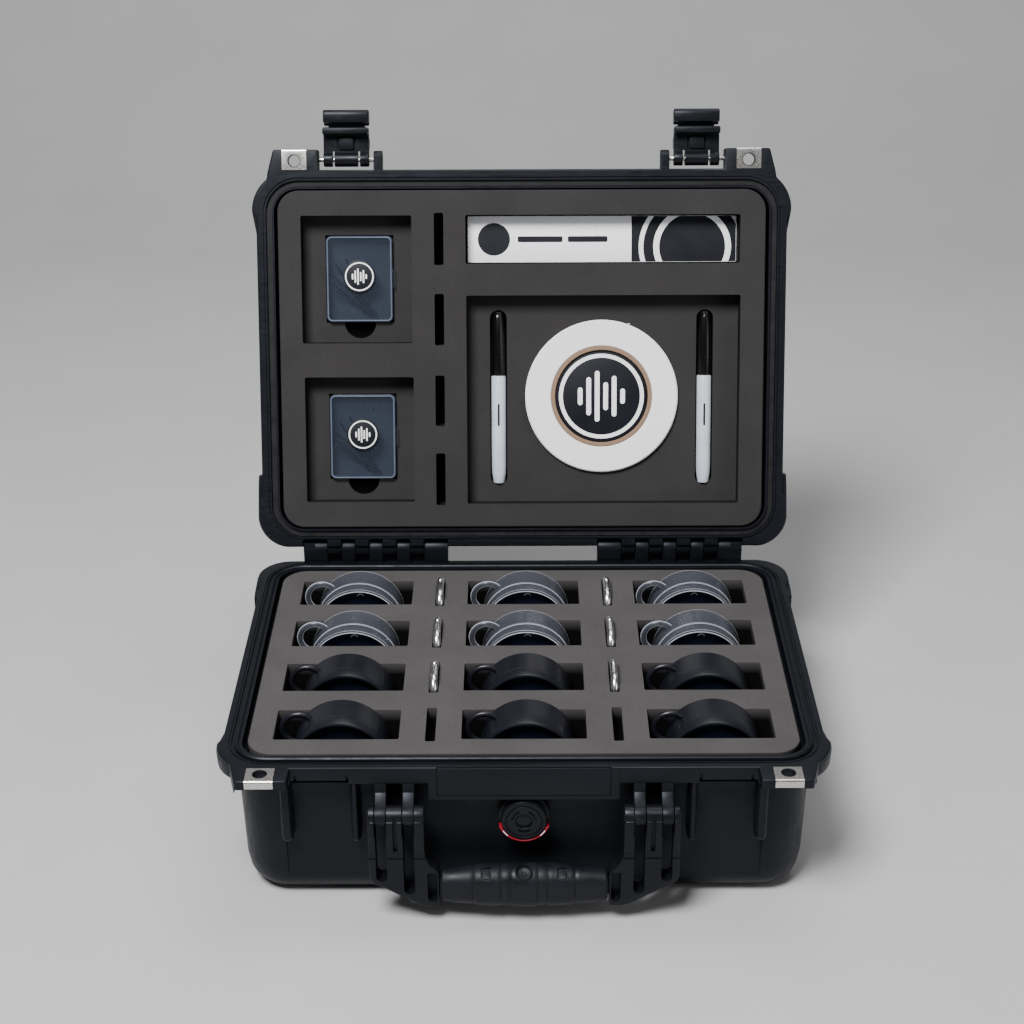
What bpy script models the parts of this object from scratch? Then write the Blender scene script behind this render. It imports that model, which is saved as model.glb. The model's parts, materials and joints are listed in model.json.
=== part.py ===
"""Hard protective carrying case with cut foam, fitted out for twelve round in-ear monitor pods.

Driving dimensions are in millimetres and the model is built in metres, +Z up, front facing -Y,
with the origin at the centre of the base's underside. Heights are drawn from a datum BASE_Z below
that underside, and everything is lowered onto it at the end. The lid and all that is in it are
drawn as if the lid were shut, and an empty on the hinge line opens them.
"""
import math

import bmesh
import bpy
from mathutils import Vector

MM = 0.001

# Case: heights above the datum
BASE_Z = 9.0             # underside of the base
RIM_Z = 120.7            # top of the base's flange
SKIRT_Z = 108.0          # underside of the base's flange
CATCH_Z = 111.0          # underside of the flange where a latch hooks on
FLOOR_Z = 19.0           # inside floor of the base
LID_RIM_Z = 121.3        # underside of the closed lid's flange
LID_SKIRT_Z = 134.0      # upper side of the lid's flange
LID_TOP_Z = 174.0        # outside of the closed lid
LID_ROOF_Z = 165.6       # inside of the closed lid

# Case: half sizes across X and Y
FLANGE = (199.1, 142.8)
CORNER_X = 202.2         # how far the corner guards stand out
BODY_TOP = (190.3, 133.2)
BODY_LOW = (188.4, 131.2)
CAVITY_RIM = (185.7, 128.8)
CAVITY_LOW = (183.2, 126.9)
CAVITY_FLOOR = (181.0, 123.5)
FRONT_PANEL_Y = -130.2   # the set-back middle of the front wall
FRONT_PANEL_X = 158.0

# Rim seal
TONGUE = (188.0, 190.6, 131.1, 133.7)     # x inner, x outer, y inner, y outer
TONGUE_TOP = 122.2
GROOVE = (187.2, 191.9, 130.3, 135.0)
GROOVE_ROOF = 126.0
GASKET_Z = (123.6, 125.7)
GAP = 0.3                # clearance between pieces that rest on each other

# Hinge
HINGE_Y = 144.7
HINGE_Z = 131.5
OPEN_DEG = 107.9
KNUCKLE_R = 7.0
KNUCKLE_EDGES = (57.5, 76.0, 86.6, 97.2, 107.8, 118.4, 129.0, 139.6, 150.2, 169.0)
PIN_R = 1.7
BORE_R = 2.1

# Padlock tabs
TAB_X = (151.7, 185.5)
TAB_Y = -157.8
TAB_HOLE = (169.8, -149.5, 4.9)
PLATE_X = (160.6, 179.0)
PLATE_T = 0.8

# Latches
LATCH_X = 131.0
LATCH_HALF = 17.0
LATCH_Y = -150.5
LATCH_Z = 128.0
EAR_X = (104.0, 110.5)

# Ribs beside the latches
RIBS_X = ((107.4, 113.5), (151.8, 160.2))
RIB_LOW_Z = 60.0

# Carrying handle
HANDLE_Y = -151.5
HANDLE_Z = 89.7
HANDLE_LOW_Z = 22.5
HANDLE_BAR = (-5.0, 2.5, 30.5, 42.5)   # y from the handle's axis, then heights
ARM_X = (64.7, 101.3)
ARM_Y = (-159.5, -146.5)
LUGS_X = ((71.3, 79.0), (89.3, 97.0))
GRIP_HALF_X = 55.0
GRIP_Z = 35.6

# Name plate and pressure valve
PLATE_BLOCK = (62.0, 96.2)
NAME_PLATE = (56.3, 99.4)
VALVE_Z = 79.0
VALVE_R = 14.9
VALVE_Y = (-143.5, -137.5)   # front of the knob, front of its collar

# Base foam and what stands in it
FOAM_TOP = 120.9
FOAM_LOW = 36.0
POD_COLUMNS = (-124.3, 0.3, 124.9)
POD_ROWS = (90.5, 29.9, -30.7, -91.3)
POD_SLOT = (41.65, 18.0)
POD_SLOT_FLOOR = 66.6
POD_R = 32.0
POD_HALF_T = 16.0
POD_Z = 100.0
POD_SHIFT = 2.0          # the pod stands to the right of its slot's middle, its ring to the left
RING_R = 11.0
RING_TUBE = 2.2
RING_PLACE = (-28.5, 3.0, 16.0)   # the ring's middle, from the pod's
CLIP_COLUMNS = (-61.9, 62.9)
CLIP_SLOT = (3.4, 20.6)
CLIP_SLOT_FLOOR = 103.0
CLIP_TUBE = 2.8
CLIP_HALF = (19.2, 12.4)
CLIP_Z = 116.6

# Lid foam: a frame with open windows on a tray with fitted pockets
LID_FOAM_RIM = 121.5
LID_TRAY_Z = 137.3
LID_FOAM_BACK = 163.9
LEFT_WINDOWS = ((-166.0, -82.8, -109.0, -13.2), (-165.0, -82.3, 12.4, 108.3))
CARD_WINDOW = (-42.3, 164.2, -109.1, -72.7)
TAPE_WINDOW = (-42.0, 165.0, -49.0, 110.0)
LID_SLOTS_X = (-65.9, -58.8)
LID_SLOTS_Y = ((-110.8, -71.9), (-50.3, -11.4), (11.3, 50.0), (70.8, 111.1))
LID_SLOT_ROOF = 144.0
PARTS_BOXES = {"upper": (-123.2, -61.2), "lower": (-122.4, 59.3)}
BOX_HALF = (25.3, 32.6)
BOX_FACE = 133.3
BOX_SPLIT = 138.3
BOX_BACK = 149.0
BOX_HINGE_Z = 135.0
TAPE = (60.8, 28.7)
TAPE_R = 58.4
TAPE_CORE_R = (35.5, 38.6)
TAPE_Z = (133.3, 158.3)
MARKERS_X = {"left": -18.0, "right": 139.6}
MARKER_Y = (-36.3, 96.0)
CAP_END_Y = 12.6
MARKER_Z = 138.7
MARKER_R = 5.9
CARD = (-41.0, 162.6, -108.2, -73.3)
CARD_Z = (135.0, 136.9)

FINISHES = {
    "case_plastic": ((0.012, 0.013, 0.017), 0.42, 0.0),
    "base_foam": ((0.105, 0.100, 0.098), 0.95, 0.0),
    "lid_foam": ((0.070, 0.067, 0.064), 0.95, 0.0),
    "steel": ((0.62, 0.60, 0.57), 0.25, 1.0),
    "chrome": ((0.80, 0.80, 0.80), 0.08, 1.0),
    "grip_rubber": ((0.014, 0.015, 0.019), 0.5, 0.0),
    "gasket": ((0.010, 0.010, 0.011), 0.6, 0.0),
    "red_seal": ((0.55, 0.01, 0.03), 0.4, 0.0),
    "clear_pod": ((0.12, 0.14, 0.18), 0.12, 0.0),
    "black_pod": ((0.015, 0.016, 0.022), 0.3, 0.0),
    "box_plastic": ((0.17, 0.22, 0.30), 0.2, 0.0),
    "tape_paper": ((0.80, 0.77, 0.74), 0.8, 0.0),
    "cardboard": ((0.40, 0.28, 0.18), 0.9, 0.0),
    "core_print": ((0.010, 0.012, 0.030), 0.4, 0.0),
    "marker_barrel": ((0.55, 0.58, 0.62), 0.35, 0.0),
    "marker_cap": ((0.010, 0.010, 0.012), 0.3, 0.0),
    "card_print": ((0.80, 0.81, 0.83), 0.5, 0.0),
}


def clear_scene():
    for obj in list(bpy.data.objects):
        bpy.data.objects.remove(obj, do_unlink=True)


def finish(name):
    """The Principled material of one finish."""
    if name in bpy.data.materials:
        return bpy.data.materials[name]
    color, roughness, metallic = FINISHES[name]
    material = bpy.data.materials.new(name)
    material.use_nodes = True
    shader = material.node_tree.nodes["Principled BSDF"]
    shader.inputs["Base Color"].default_value = (*color, 1.0)
    shader.inputs["Roughness"].default_value = roughness
    shader.inputs["Metallic"].default_value = metallic
    return material


# ---------------------------------------------------------------- outlines and plain solids

def arc(cx, cy, radius, start, end, steps):
    """Points on an arc, angles in degrees, both ends included."""
    angles = [math.radians(start + (end - start) * i / steps) for i in range(steps + 1)]
    return [(cx + radius * math.cos(a), cy + radius * math.sin(a)) for a in angles]


def circle(cx, cy, radius, steps):
    return arc(cx, cy, radius, 0, 360, steps)[:-1]


def rounded_rect(hx, hy, radius, steps=4, cx=0.0, cy=0.0):
    points = []
    for sx, sy, start in ((1, 1, 0), (-1, 1, 90), (-1, -1, 180), (1, -1, 270)):
        points += arc(cx + sx * (hx - radius), cy + sy * (hy - radius), radius, start, start + 90, steps)
    return points


def lift(points, value, axis="Z"):
    """Outline points as 3-D points on the plane where the given axis has this value."""
    place = {"Z": lambda a, b: (a, b, value), "Y": lambda a, b: (a, value, b), "X": lambda a, b: (value, a, b)}
    return [Vector(place[axis](a, b)) for a, b in points]


def loft(rings, closed_loop=False):
    """A closed solid through rings of equal length, capped, or joined end to end as a loop."""
    bm = bmesh.new()
    rows = [[bm.verts.new(p) for p in ring] for ring in rings]
    pairs = list(zip(rows, rows[1:]))
    if closed_loop:
        pairs.append((rows[-1], rows[0]))
    else:
        bm.faces.new(rows[0])
        bm.faces.new(rows[-1])
    for low, high in pairs:
        for i in range(len(low)):
            j = (i + 1) % len(low)
            bm.faces.new((low[i], low[j], high[j], high[i]))
    bmesh.ops.recalc_face_normals(bm, faces=bm.faces)
    return bm


def prism(points, low, high, axis="Z"):
    return loft([lift(points, low, axis), lift(points, high, axis)])


def box(x0, x1, y0, y1, z0, z1):
    return prism([(x0, y0), (x1, y0), (x1, y1), (x0, y1)], z0, z1)


def rod(axis, a, b, radius, low, high, steps=16):
    """A cylinder along an axis; a and b are its centre on the other two axes."""
    return prism(circle(a, b, radius, steps), low, high, axis)


def turned(profile, axis, a, b, steps):
    """A solid of revolution through (place along the axis, radius) pairs."""
    return loft([lift(circle(a, b, radius, steps), place, axis) for place, radius in profile])


def turned_ring(profile, axis, a, b, steps):
    """A ring of revolution: the profile closes on itself."""
    rings = [lift(circle(a, b, radius, steps), place, axis) for place, radius in profile]
    return loft(rings, closed_loop=True)


def frame_ring(sizes, z0, z1, radius=20.0, steps=4):
    """A rectangular ring with round corners; sizes are x inner, x outer, y inner, y outer."""
    x_in, x_out, y_in, y_out = sizes
    outer = rounded_rect(x_out, y_out, radius + x_out - x_in, steps)
    inner = rounded_rect(x_in, y_in, radius, steps)
    rings = [lift(outer, z0), lift(outer, z1), lift(inner, z1), lift(inner, z0)]
    return loft(rings, closed_loop=True)


def tube_loop(path, radius, sides, flat_axis):
    """A round tube along a closed loop that lies in the plane across flat_axis."""
    rings = []
    count = len(path)
    for i, point in enumerate(path):
        along = (path[(i + 1) % count] - path[i - 1]).normalized()
        out = along.cross(flat_axis).normalized()
        turns = [2 * math.pi * k / sides for k in range(sides)]
        rings.append([point + radius * (math.cos(t) * out + math.sin(t) * flat_axis) for t in turns])
    return loft(rings, closed_loop=True)


# ---------------------------------------------------------------- joining solids into objects

def temporary(bm):
    mesh = bpy.data.meshes.new("tool")
    bm.to_mesh(mesh)
    bm.free()
    obj = bpy.data.objects.new("tool", mesh)
    bpy.context.scene.collection.objects.link(obj)
    return obj


def combined(adds, cuts):
    """One mesh: the first solid, joined with the other adds, with every cut taken out."""
    body = temporary(adds[0])
    tools = []
    for operation, solids in (("UNION", adds[1:]), ("DIFFERENCE", cuts)):
        for bm in solids:
            tool = temporary(bm)
            step = body.modifiers.new("step", "BOOLEAN")
            step.operation = operation
            step.solver = "EXACT"
            step.object = tool
            tools.append(tool)
    depsgraph = bpy.context.evaluated_depsgraph_get()
    mesh = bpy.data.meshes.new_from_object(body.evaluated_get(depsgraph))
    for obj in [body, *tools]:
        bpy.data.objects.remove(obj, do_unlink=True)
    return mesh


def tidy(mesh, origin):
    """Flat stretches merged, triangles made, moved to the origin and scaled to metres."""
    bm = bmesh.new()
    bm.from_mesh(mesh)
    bmesh.ops.remove_doubles(bm, verts=bm.verts, dist=0.0005)
    bmesh.ops.dissolve_limit(bm, angle_limit=0.002, verts=bm.verts, edges=bm.edges)
    bmesh.ops.triangulate(bm, faces=bm.faces, ngon_method="BEAUTY")
    bmesh.ops.recalc_face_normals(bm, faces=bm.faces)
    bmesh.ops.translate(bm, verts=bm.verts, vec=-Vector(origin))
    bmesh.ops.scale(bm, verts=bm.verts, vec=(MM, MM, MM))
    bm.to_mesh(mesh)
    bm.free()


def make(name, material, adds, cuts=(), origin=(0, 0, 0), lid=None):
    """One named sub-part, its origin given in millimetres; lid is the empty that opens the lid."""
    mesh = combined(list(adds), list(cuts))
    mesh.name = name
    tidy(mesh, origin)
    mesh.materials.clear()
    mesh.materials.append(finish(material))
    mesh.shade_smooth()
    mesh.set_sharp_from_angle(angle=math.radians(35))
    obj = bpy.data.objects.new(name, mesh)
    bpy.context.scene.collection.objects.link(obj)
    place = Vector(origin)
    if lid:
        obj.parent = lid
        place -= Vector((0, HINGE_Y, HINGE_Z))
    obj.location = place * MM
    return obj


def lid_empty():
    """An empty on the hinge line, turned by the angle at which the lid stands open."""
    empty = bpy.data.objects.new("lid_axis", None)
    empty.location = (0, HINGE_Y * MM, HINGE_Z * MM)
    empty.rotation_euler = (-math.radians(OPEN_DEG), 0, 0)
    bpy.context.scene.collection.objects.link(empty)
    return empty


def both_sides(pair):
    """The same stretch of X on the right and mirrored on the left, as (sign, low, high)."""
    low, high = pair
    return ((1, low, high), (-1, -high, -low))


# ---------------------------------------------------------------- case shells

def flange_outline():
    """The flange seen from above: padlock tabs and corner guards in front, guards behind."""
    fx, fy = FLANGE
    right = [(TAB_X[0], -fy), (TAB_X[0], TAB_Y), (TAB_X[1], TAB_Y), (190.0, -141.0)]
    right += arc(172.2, -112.5, 30.0, -52, 0, 3)
    right += [(fx, -106.0), (fx, 103.0), (CORNER_X, 107.0)]
    right += arc(178.2, 118.8, 24.0, 0, 90, 5)
    left = [(-x, y) for x, y in reversed(right)]
    return right + left


def knuckle_spans(odd):
    """X ranges of the base's knuckles (odd) or the lid's (even), on both sides."""
    spans = list(zip(KNUCKLE_EDGES, KNUCKLE_EDGES[1:]))
    chosen = spans[0::2] if odd else spans[1::2]
    return [(a + 0.2, b - 0.2) for pair in chosen for _, a, b in both_sides(pair)]


def hinge_bore():
    return [rod("X", HINGE_Y, HINGE_Z, BORE_R, low, high, 8) for low, high in ((-175, -50), (50, 175))]


def base_knuckles():
    front, back = HINGE_Y - KNUCKLE_R, HINGE_Y + KNUCKLE_R
    outline = arc(HINGE_Y, HINGE_Z, KNUCKLE_R, -15, 180, 7)
    outline += [(front, SKIRT_Z + 6), (FLANGE[1] - 1, SKIRT_Z + 2), (back - 3.5, SKIRT_Z + 10)]
    return [prism(outline, low, high, "X") for low, high in knuckle_spans(True)]


def hinge_webs():
    """Strips of the base that close the gap under the lid's knuckles."""
    front, back = FLANGE[1] + 0.6, HINGE_Y + 4.8
    ends = (KNUCKLE_EDGES[0] + 1, KNUCKLE_EDGES[-1] - 1)
    return [box(low, high, front, back, SKIRT_Z + 4, HINGE_Z - KNUCKLE_R - 0.6) for _, low, high in both_sides(ends)]


def lid_knuckles():
    inner = HINGE_Y - KNUCKLE_R - 2
    outline = arc(HINGE_Y, HINGE_Z, KNUCKLE_R, -90, 90, 7)
    outline += [(inner, HINGE_Z + KNUCKLE_R), (inner, HINGE_Z - KNUCKLE_R)]
    return [prism(outline, low, high, "X") for low, high in knuckle_spans(False)]


def padlock_cuts(z_low, z_high, plate_low, plate_high):
    """The seat of each steel plate, a notch in front and shallow steps, and the shackle hole."""
    hole_x, hole_y, hole_r = TAB_HOLE
    cuts = []
    for sign, low, high in both_sides(PLATE_X):
        a, b = low - GAP, high + GAP
        cuts.append(box(a, b, TAB_Y - 5, TAB_Y + 1.1, z_low - 2, z_high + 2))
        cuts.append(box(a, b, TAB_Y - 5, -142.3, plate_high, z_high + 2))
        cuts.append(box(a, b, TAB_Y - 5, -142.3, z_low - 2, plate_low))
        cuts.append(rod("Z", sign * hole_x, hole_y, hole_r, z_low - 2, z_high + 2, 14))
    return cuts


def case_base():
    outline = flange_outline()
    shell_rings = ((0.0, 166.0, 109.0, 12), (2.0, 176.0, 119.0, 18), (7.0, 183.0, 126.0, 24),
                   (14.0, 186.8, 129.7, 27), (24.0, *BODY_LOW, 28), (SKIRT_Z + 1 - BASE_Z, *BODY_TOP, 28))
    adds = [loft([lift(rounded_rect(hx, hy, r), BASE_Z + z) for z, hx, hy, r in shell_rings])]
    adds.append(prism(outline, SKIRT_Z, RIM_Z))
    adds.append(box(-PLATE_BLOCK[0], PLATE_BLOCK[0], -143.2, -125.0, PLATE_BLOCK[1], RIM_Z))
    panel = box(-FRONT_PANEL_X, FRONT_PANEL_X, -140.0, FRONT_PANEL_Y, -5.0, PLATE_BLOCK[1])
    shell = loft_from(combined(adds, [panel, *catch_cuts()]))

    adds = [shell]
    adds += rib_solids()
    adds += handle_lugs()
    adds += base_knuckles()
    adds += hinge_webs()
    cuts = [cavity_of_base()]
    cuts += hinge_bore()
    cuts += padlock_cuts(SKIRT_Z, RIM_Z, 115.5, 119.8)
    cuts += tab_underside()
    cuts += [rod("X", HANDLE_Y, HANDLE_Z, 2.4, low, high, 8) for low, high in ((60, 105), (-105, -60))]
    seat = NAME_PLATE[0] + GAP
    cuts.append(box(-seat, seat, -150.0, -142.0, NAME_PLATE[1] - GAP, RIM_Z + 5))
    cuts.append(rod("Y", 0, VALVE_Z, 7.0, -140.0, -120.0))
    body = loft_from(combined(adds, cuts))
    return make("case_base", "case_plastic", [body, frame_ring(TONGUE, RIM_Z - 1.5, TONGUE_TOP)])


def loft_from(mesh):
    """A finished mesh as a bmesh again, for the next round of joins and cuts."""
    bm = bmesh.new()
    bm.from_mesh(mesh)
    bmesh.ops.remove_doubles(bm, verts=bm.verts, dist=0.0005)
    bpy.data.meshes.remove(mesh)
    return bm


def cavity_of_base():
    rings = ((FLOOR_Z, *CAVITY_FLOOR, 16), (RIM_Z - 9.5, *CAVITY_LOW, 17), (RIM_Z - 8.5, *CAVITY_RIM, 18),
             (RIM_Z + 6, *CAVITY_RIM, 18))
    return loft([lift(rounded_rect(hx, hy, r), z) for z, hx, hy, r in rings])


def catch_cuts():
    """The flange is shallower between the ribs, where the hook of a latch comes in under it."""
    span = (RIBS_X[0][1], RIBS_X[1][0])
    return [box(low, high, -150.0, FRONT_PANEL_Y, SKIRT_Z - 5, CATCH_Z) for _, low, high in both_sides(span)]


def tab_underside():
    """The padlock tabs are thinner than the flange: what hangs below them in front is taken off."""
    return [box(low - 1, high + 5, TAB_Y - 5, -143.4, SKIRT_Z - 5, 114.2) for _, low, high in both_sides(TAB_X)]


def rib_solids():
    solids = []
    for pair in RIBS_X:
        for _, low, high in both_sides(pair):
            radius = (high - low) / 2
            outline = [(high, CATCH_Z), (low, CATCH_Z)]
            outline += arc(low + radius, RIB_LOW_Z + radius, radius, 180, 360, 4)
            solids.append(prism(outline, -141.5, -127.5, "Y"))
    return solids


def handle_lugs():
    """Plates under the flange that carry the handle's pins."""
    outline = [(-127.5, SKIRT_Z + 2), (-142.5, SKIRT_Z + 2), (-143.0, HANDLE_Z + 12), (-149.0, HANDLE_Z + 7)]
    outline += arc(HANDLE_Y, HANDLE_Z, 6.6, 100, 290, 8)
    outline += [(-127.5, HANDLE_Z - 16)]
    return [prism(outline, low, high, "X") for pair in LUGS_X for _, low, high in both_sides(pair)]


def case_lid(lid):
    shell_rings = ((LID_SKIRT_Z - 1, *BODY_TOP, 28), (160.0, 189.2, 132.1, 28), (168.0, 187.2, 130.1, 27),
                   (172.2, 183.6, 126.5, 24), (LID_TOP_Z, 178.0, 121.0, 18))
    adds = [prism(flange_outline(), LID_RIM_Z, LID_SKIRT_Z)]
    adds.append(loft([lift(rounded_rect(hx, hy, r), z) for z, hx, hy, r in shell_rings]))
    cavity = ((LID_RIM_Z - 5, *CAVITY_RIM, 18), (LID_SKIRT_Z, *CAVITY_RIM, 18), (LID_ROOF_Z, 183.5, 126.5, 17))
    cuts = [loft([lift(rounded_rect(hx, hy, r), z) for z, hx, hy, r in cavity])]
    cuts.append(frame_ring(GROOVE, LID_RIM_Z - 3, GROOVE_ROOF))
    cuts.append(prism(rounded_rect(150.0, 95.0, 14.0), LID_TOP_Z - 2, LID_TOP_Z + 5))
    notch_y = HINGE_Y - KNUCKLE_R - 0.5
    for low, high in knuckle_spans(True):
        cuts.append(box(low - 0.4, high + 0.4, notch_y, 160.0, LID_RIM_Z - 5, LID_SKIRT_Z + 5))
    body = loft_from(combined(adds, cuts))
    adds = [body, *lid_knuckles(), *latch_ears()]
    cuts = hinge_bore()
    cuts += padlock_cuts(LID_RIM_Z, LID_SKIRT_Z, 122.2, 126.5)
    cuts += lid_tab_tops()
    cuts += [rod("X", LATCH_Y, LATCH_Z, 2.1, low, high, 8) for low, high in ((100, 157), (-157, -100))]
    return make("case_lid", "case_plastic", adds, cuts, (0, HINGE_Y, HINGE_Z), lid)


def lid_tab_tops():
    """Above the padlock tabs the lid's flange is set back, except beside the latch pin."""
    span = (TAB_X[0] + 6.5, TAB_X[1] + 5)
    return [box(low, high, TAB_Y - 5, -143.4, 127.8, LID_SKIRT_Z + 5) for _, low, high in both_sides(span)]


def latch_ears():
    outline = [(-140.0, LID_RIM_Z), (-153.0, LID_RIM_Z)]
    outline += arc(-150.6, 127.6, 6.3, 250, 110, 6)
    outline += [(-140.0, LID_SKIRT_Z)]
    return [prism(outline, low, high, "X") for _, low, high in both_sides(EAR_X)]


def lid_gasket(lid):
    sizes = (GROOVE[0] + GAP, GROOVE[1] - GAP, GROOVE[2] + GAP, GROOVE[3] - GAP)
    return make("lid_gasket", "gasket", [frame_ring(sizes, *GASKET_Z, radius=20 + GAP)],
                origin=(0, HINGE_Y, HINGE_Z), lid=lid)


def hinge_pins():
    ends = (KNUCKLE_EDGES[0] + 0.8, KNUCKLE_EDGES[-1] - 0.8)
    for sign, low, high in both_sides(ends):
        name = "hinge_pin_right" if sign > 0 else "hinge_pin_left"
        middle = ((low + high) / 2, HINGE_Y, HINGE_Z)
        make(name, "steel", [rod("X", HINGE_Y, HINGE_Z, PIN_R, low, high, 8)], origin=middle)


# ---------------------------------------------------------------- hardware on the outside

def padlock_plate(name, sign, low_z, high_z, lid=None):
    """A steel U round the front of a padlock tab, holed for the shackle."""
    low, high = PLATE_X if sign > 0 else (-PLATE_X[1], -PLATE_X[0])
    front = TAB_Y - 0.5
    outline = [(-142.8, high_z), (front, high_z), (front, low_z), (-144.3, low_z), (-144.3, low_z + PLATE_T),
               (front + PLATE_T, low_z + PLATE_T), (front + PLATE_T, high_z - PLATE_T), (-142.8, high_z - PLATE_T)]
    if lid:
        outline = [(y, low_z + high_z - z) for y, z in outline]
    hole = rod("Z", sign * TAB_HOLE[0], TAB_HOLE[1], TAB_HOLE[2], low_z - 5, high_z + 5, 14)
    origin = (sign * TAB_HOLE[0], TAB_HOLE[1], (low_z + high_z) / 2)
    return make(name, "steel", [prism(outline, low, high, "X")], [hole], origin, lid)


def padlock_plates(lid):
    for sign, side in ((-1, "left"), (1, "right")):
        padlock_plate(f"padlock_plate_base_{side}", sign, 114.4, 120.9)
        padlock_plate(f"padlock_plate_lid_{side}", sign, 121.1, 127.6, lid)


def latch_hook(side, sign, lid):
    """The inner half of a double-throw latch: pivot barrel, plate, hooking bar and lever cheeks."""
    low, high = sign * LATCH_X - LATCH_HALF, sign * LATCH_X + LATCH_HALF
    y, z = LATCH_Y, LATCH_Z
    plate = [(y + 3, z + 3), (y - 23, z + 3), (y - 23, z - 10.5), (y - 18.4, z - 10.5), (y - 18.4, z - 2), (y + 3, z - 2)]
    adds = [prism(plate, low, high, "X"), rod("X", y, z, 5.4, low, high, 16)]
    cheek = [(y - 7, z + 1), (y - 7, z + 6.8)] + arc(y - 12, z + 6.8, 3.6, 60, 150, 3) + [(y - 17, z + 1)]
    adds += [prism(cheek, low, low + 3, "X"), prism(cheek, high - 3, high, "X")]
    cuts = [rod("X", y, z, 2.1, low - 5, high + 5, 8)]
    cuts.append(box(sign * LATCH_X - 7, sign * LATCH_X + 7, y - 17, y - 6.5, z - 8, z - 0.5))
    return make(f"latch_hook_{side}", "case_plastic", adds, cuts, (sign * LATCH_X, y, z), lid)


def latch_lever(side, sign, lid):
    """The outer half: a plate on its own pivot between the cheeks, ending in a curled finger lip."""
    x, y, z = sign * LATCH_X, LATCH_Y, LATCH_Z
    pivot_y, pivot_z = y - 12, z + 6.8
    neck = arc(pivot_y, pivot_z, 3.2, -90, 90, 6) + [(y - 28, z + 8), (y - 28, z + 3.6)]
    lip = [(y - 25, z + 3.6), (y - 25, z + 8)] + arc(y - 31, z + 3.2, 5.5, 60, 180, 5)
    lip += [(y - 36.5, z - 2.5), (y - 34, z - 4), (y - 27, z - 4), (y - 27, z + 3.6)]
    adds = [prism(neck, x - 13.6, x + 13.6, "X"), prism(lip, x - LATCH_HALF, x + LATCH_HALF, "X")]
    return make(f"latch_lever_{side}", "case_plastic", adds, (), (x, pivot_y, pivot_z), lid)


def latches(lid):
    for sign, side in ((-1, "left"), (1, "right")):
        latch_hook(side, sign, lid)
        latch_lever(side, sign, lid)
        low, high = (104.8, 156.2) if sign > 0 else (-156.2, -104.8)
        make(f"latch_pin_{side}", "steel", [rod("X", LATCH_Y, LATCH_Z, PIN_R, low, high, 8)],
             origin=(sign * LATCH_X, LATCH_Y, LATCH_Z), lid=lid)


def handle_frame():
    """Two broad arms with prongs round the lugs, joined by the bar inside the grip."""
    y, z = HANDLE_Y, HANDLE_Z
    arm_profile = [(ARM_X[0], z), (ARM_X[0], 62.0), (61.0, 54.5), (55.6, 49.5), (55.6, HANDLE_LOW_Z),
                   (64.0, HANDLE_LOW_Z), (69.5, 24.2), (98.5, 41.3), (ARM_X[1], 45.0), (ARM_X[1], z)]
    front, back, low_z, high_z = HANDLE_BAR
    adds = [box(-60.0, 60.0, y + front, y + back, low_z, high_z)]
    cuts = []
    for sign in (1, -1):
        adds.append(prism([(sign * a, b) for a, b in arm_profile], *ARM_Y, "Y"))
        low, high = sorted((sign * ARM_X[0], sign * ARM_X[1]))
        adds.append(rod("X", y, z, 7.0, low, high, 14))
        cuts.append(rod("X", y, z, 2.4, low - 5, high + 5, 8))
        for (a, b), floor in zip(LUGS_X, (32.7, 42.8)):
            c, d = sorted((sign * (a - GAP), sign * (b + GAP)))
            cuts.append(box(c, d, y - 20, y + 20, z - 12, z + 20))
            cuts.append(arm_slot((c + d) / 2, 3.6, floor, z - 5, -170.0, -140.0))
        cuts.append(arm_slot(sign * 60.1, 3.2, 26.4, 49.5, -170.0, -152.5))
        cuts.append(arm_slot(sign * 83.7, 1.5, 66.0, 92.0, -170.0, -156.5))
    return make("handle_frame", "case_plastic", adds, cuts, (0, y, z))


def arm_slot(x, half, low_z, high_z, y0, y1):
    """A slot with a round lower end."""
    outline = [(x + half, high_z), (x - half, high_z)] + arc(x, low_z + half, half, 180, 360, 4)
    return prism(outline, y0, y1, "Y")


def handle_grip():
    """A soft grip moulded round the bar, thickest in the middle."""
    rings = []
    for i in range(7):
        x = GRIP_HALF_X * (i / 3 - 1)
        crown = math.cos(math.pi * x / (2.6 * GRIP_HALF_X))
        half_y, half_z = 6.5 + 3.8 * crown, 9.0 + 6.0 * crown
        rings.append(lift(rounded_rect(half_y, half_z, 6.0 + 3.5 * crown, 3, HANDLE_Y - 1.2, GRIP_Z), x, "X"))
    front, back, low_z, high_z = HANDLE_BAR
    core = box(-70, 70, HANDLE_Y + front - GAP, HANDLE_Y + back + GAP, low_z - GAP, high_z + GAP)
    return make("handle_grip", "grip_rubber", [loft(rings)], [core], (0, HANDLE_Y, HANDLE_Z))


def handle_pins():
    for sign, low, high in both_sides((ARM_X[0] + 0.8, ARM_X[1] - 0.8)):
        name = "handle_pin_right" if sign > 0 else "handle_pin_left"
        make(name, "steel", [rod("X", HANDLE_Y, HANDLE_Z, 2.0, low, high, 8)],
             origin=((low + high) / 2, HANDLE_Y, HANDLE_Z))


def front_fittings():
    half, low = NAME_PLATE
    make("name_plate", "case_plastic", [box(-half, half, -143.2, -142.3, low, RIM_Z - 0.3)], origin=(0, -143, 110))
    front, collar = VALVE_Y
    knob = ((front, 13.6), (front + 1.0, VALVE_R), (collar, VALVE_R), (collar, 16.9), (-130.6, 16.9), (-130.6, 6.5),
            (-127.4, 6.5))
    make("valve_body", "case_plastic", [turned(knob, "Y", 0, VALVE_Z, 20)], (), (0, -140, VALVE_Z))
    inner, outer = VALVE_R + GAP, VALVE_R + 2.4
    crescent = arc(0, VALVE_Z, outer, 185, 355, 12) + arc(0, VALVE_Z, inner, 355, 185, 12)
    make("valve_seal", "red_seal", [prism(crescent, front + 0.4, collar - GAP, "Y")], origin=(0, front, VALVE_Z))


# ---------------------------------------------------------------- base foam and its contents

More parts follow.
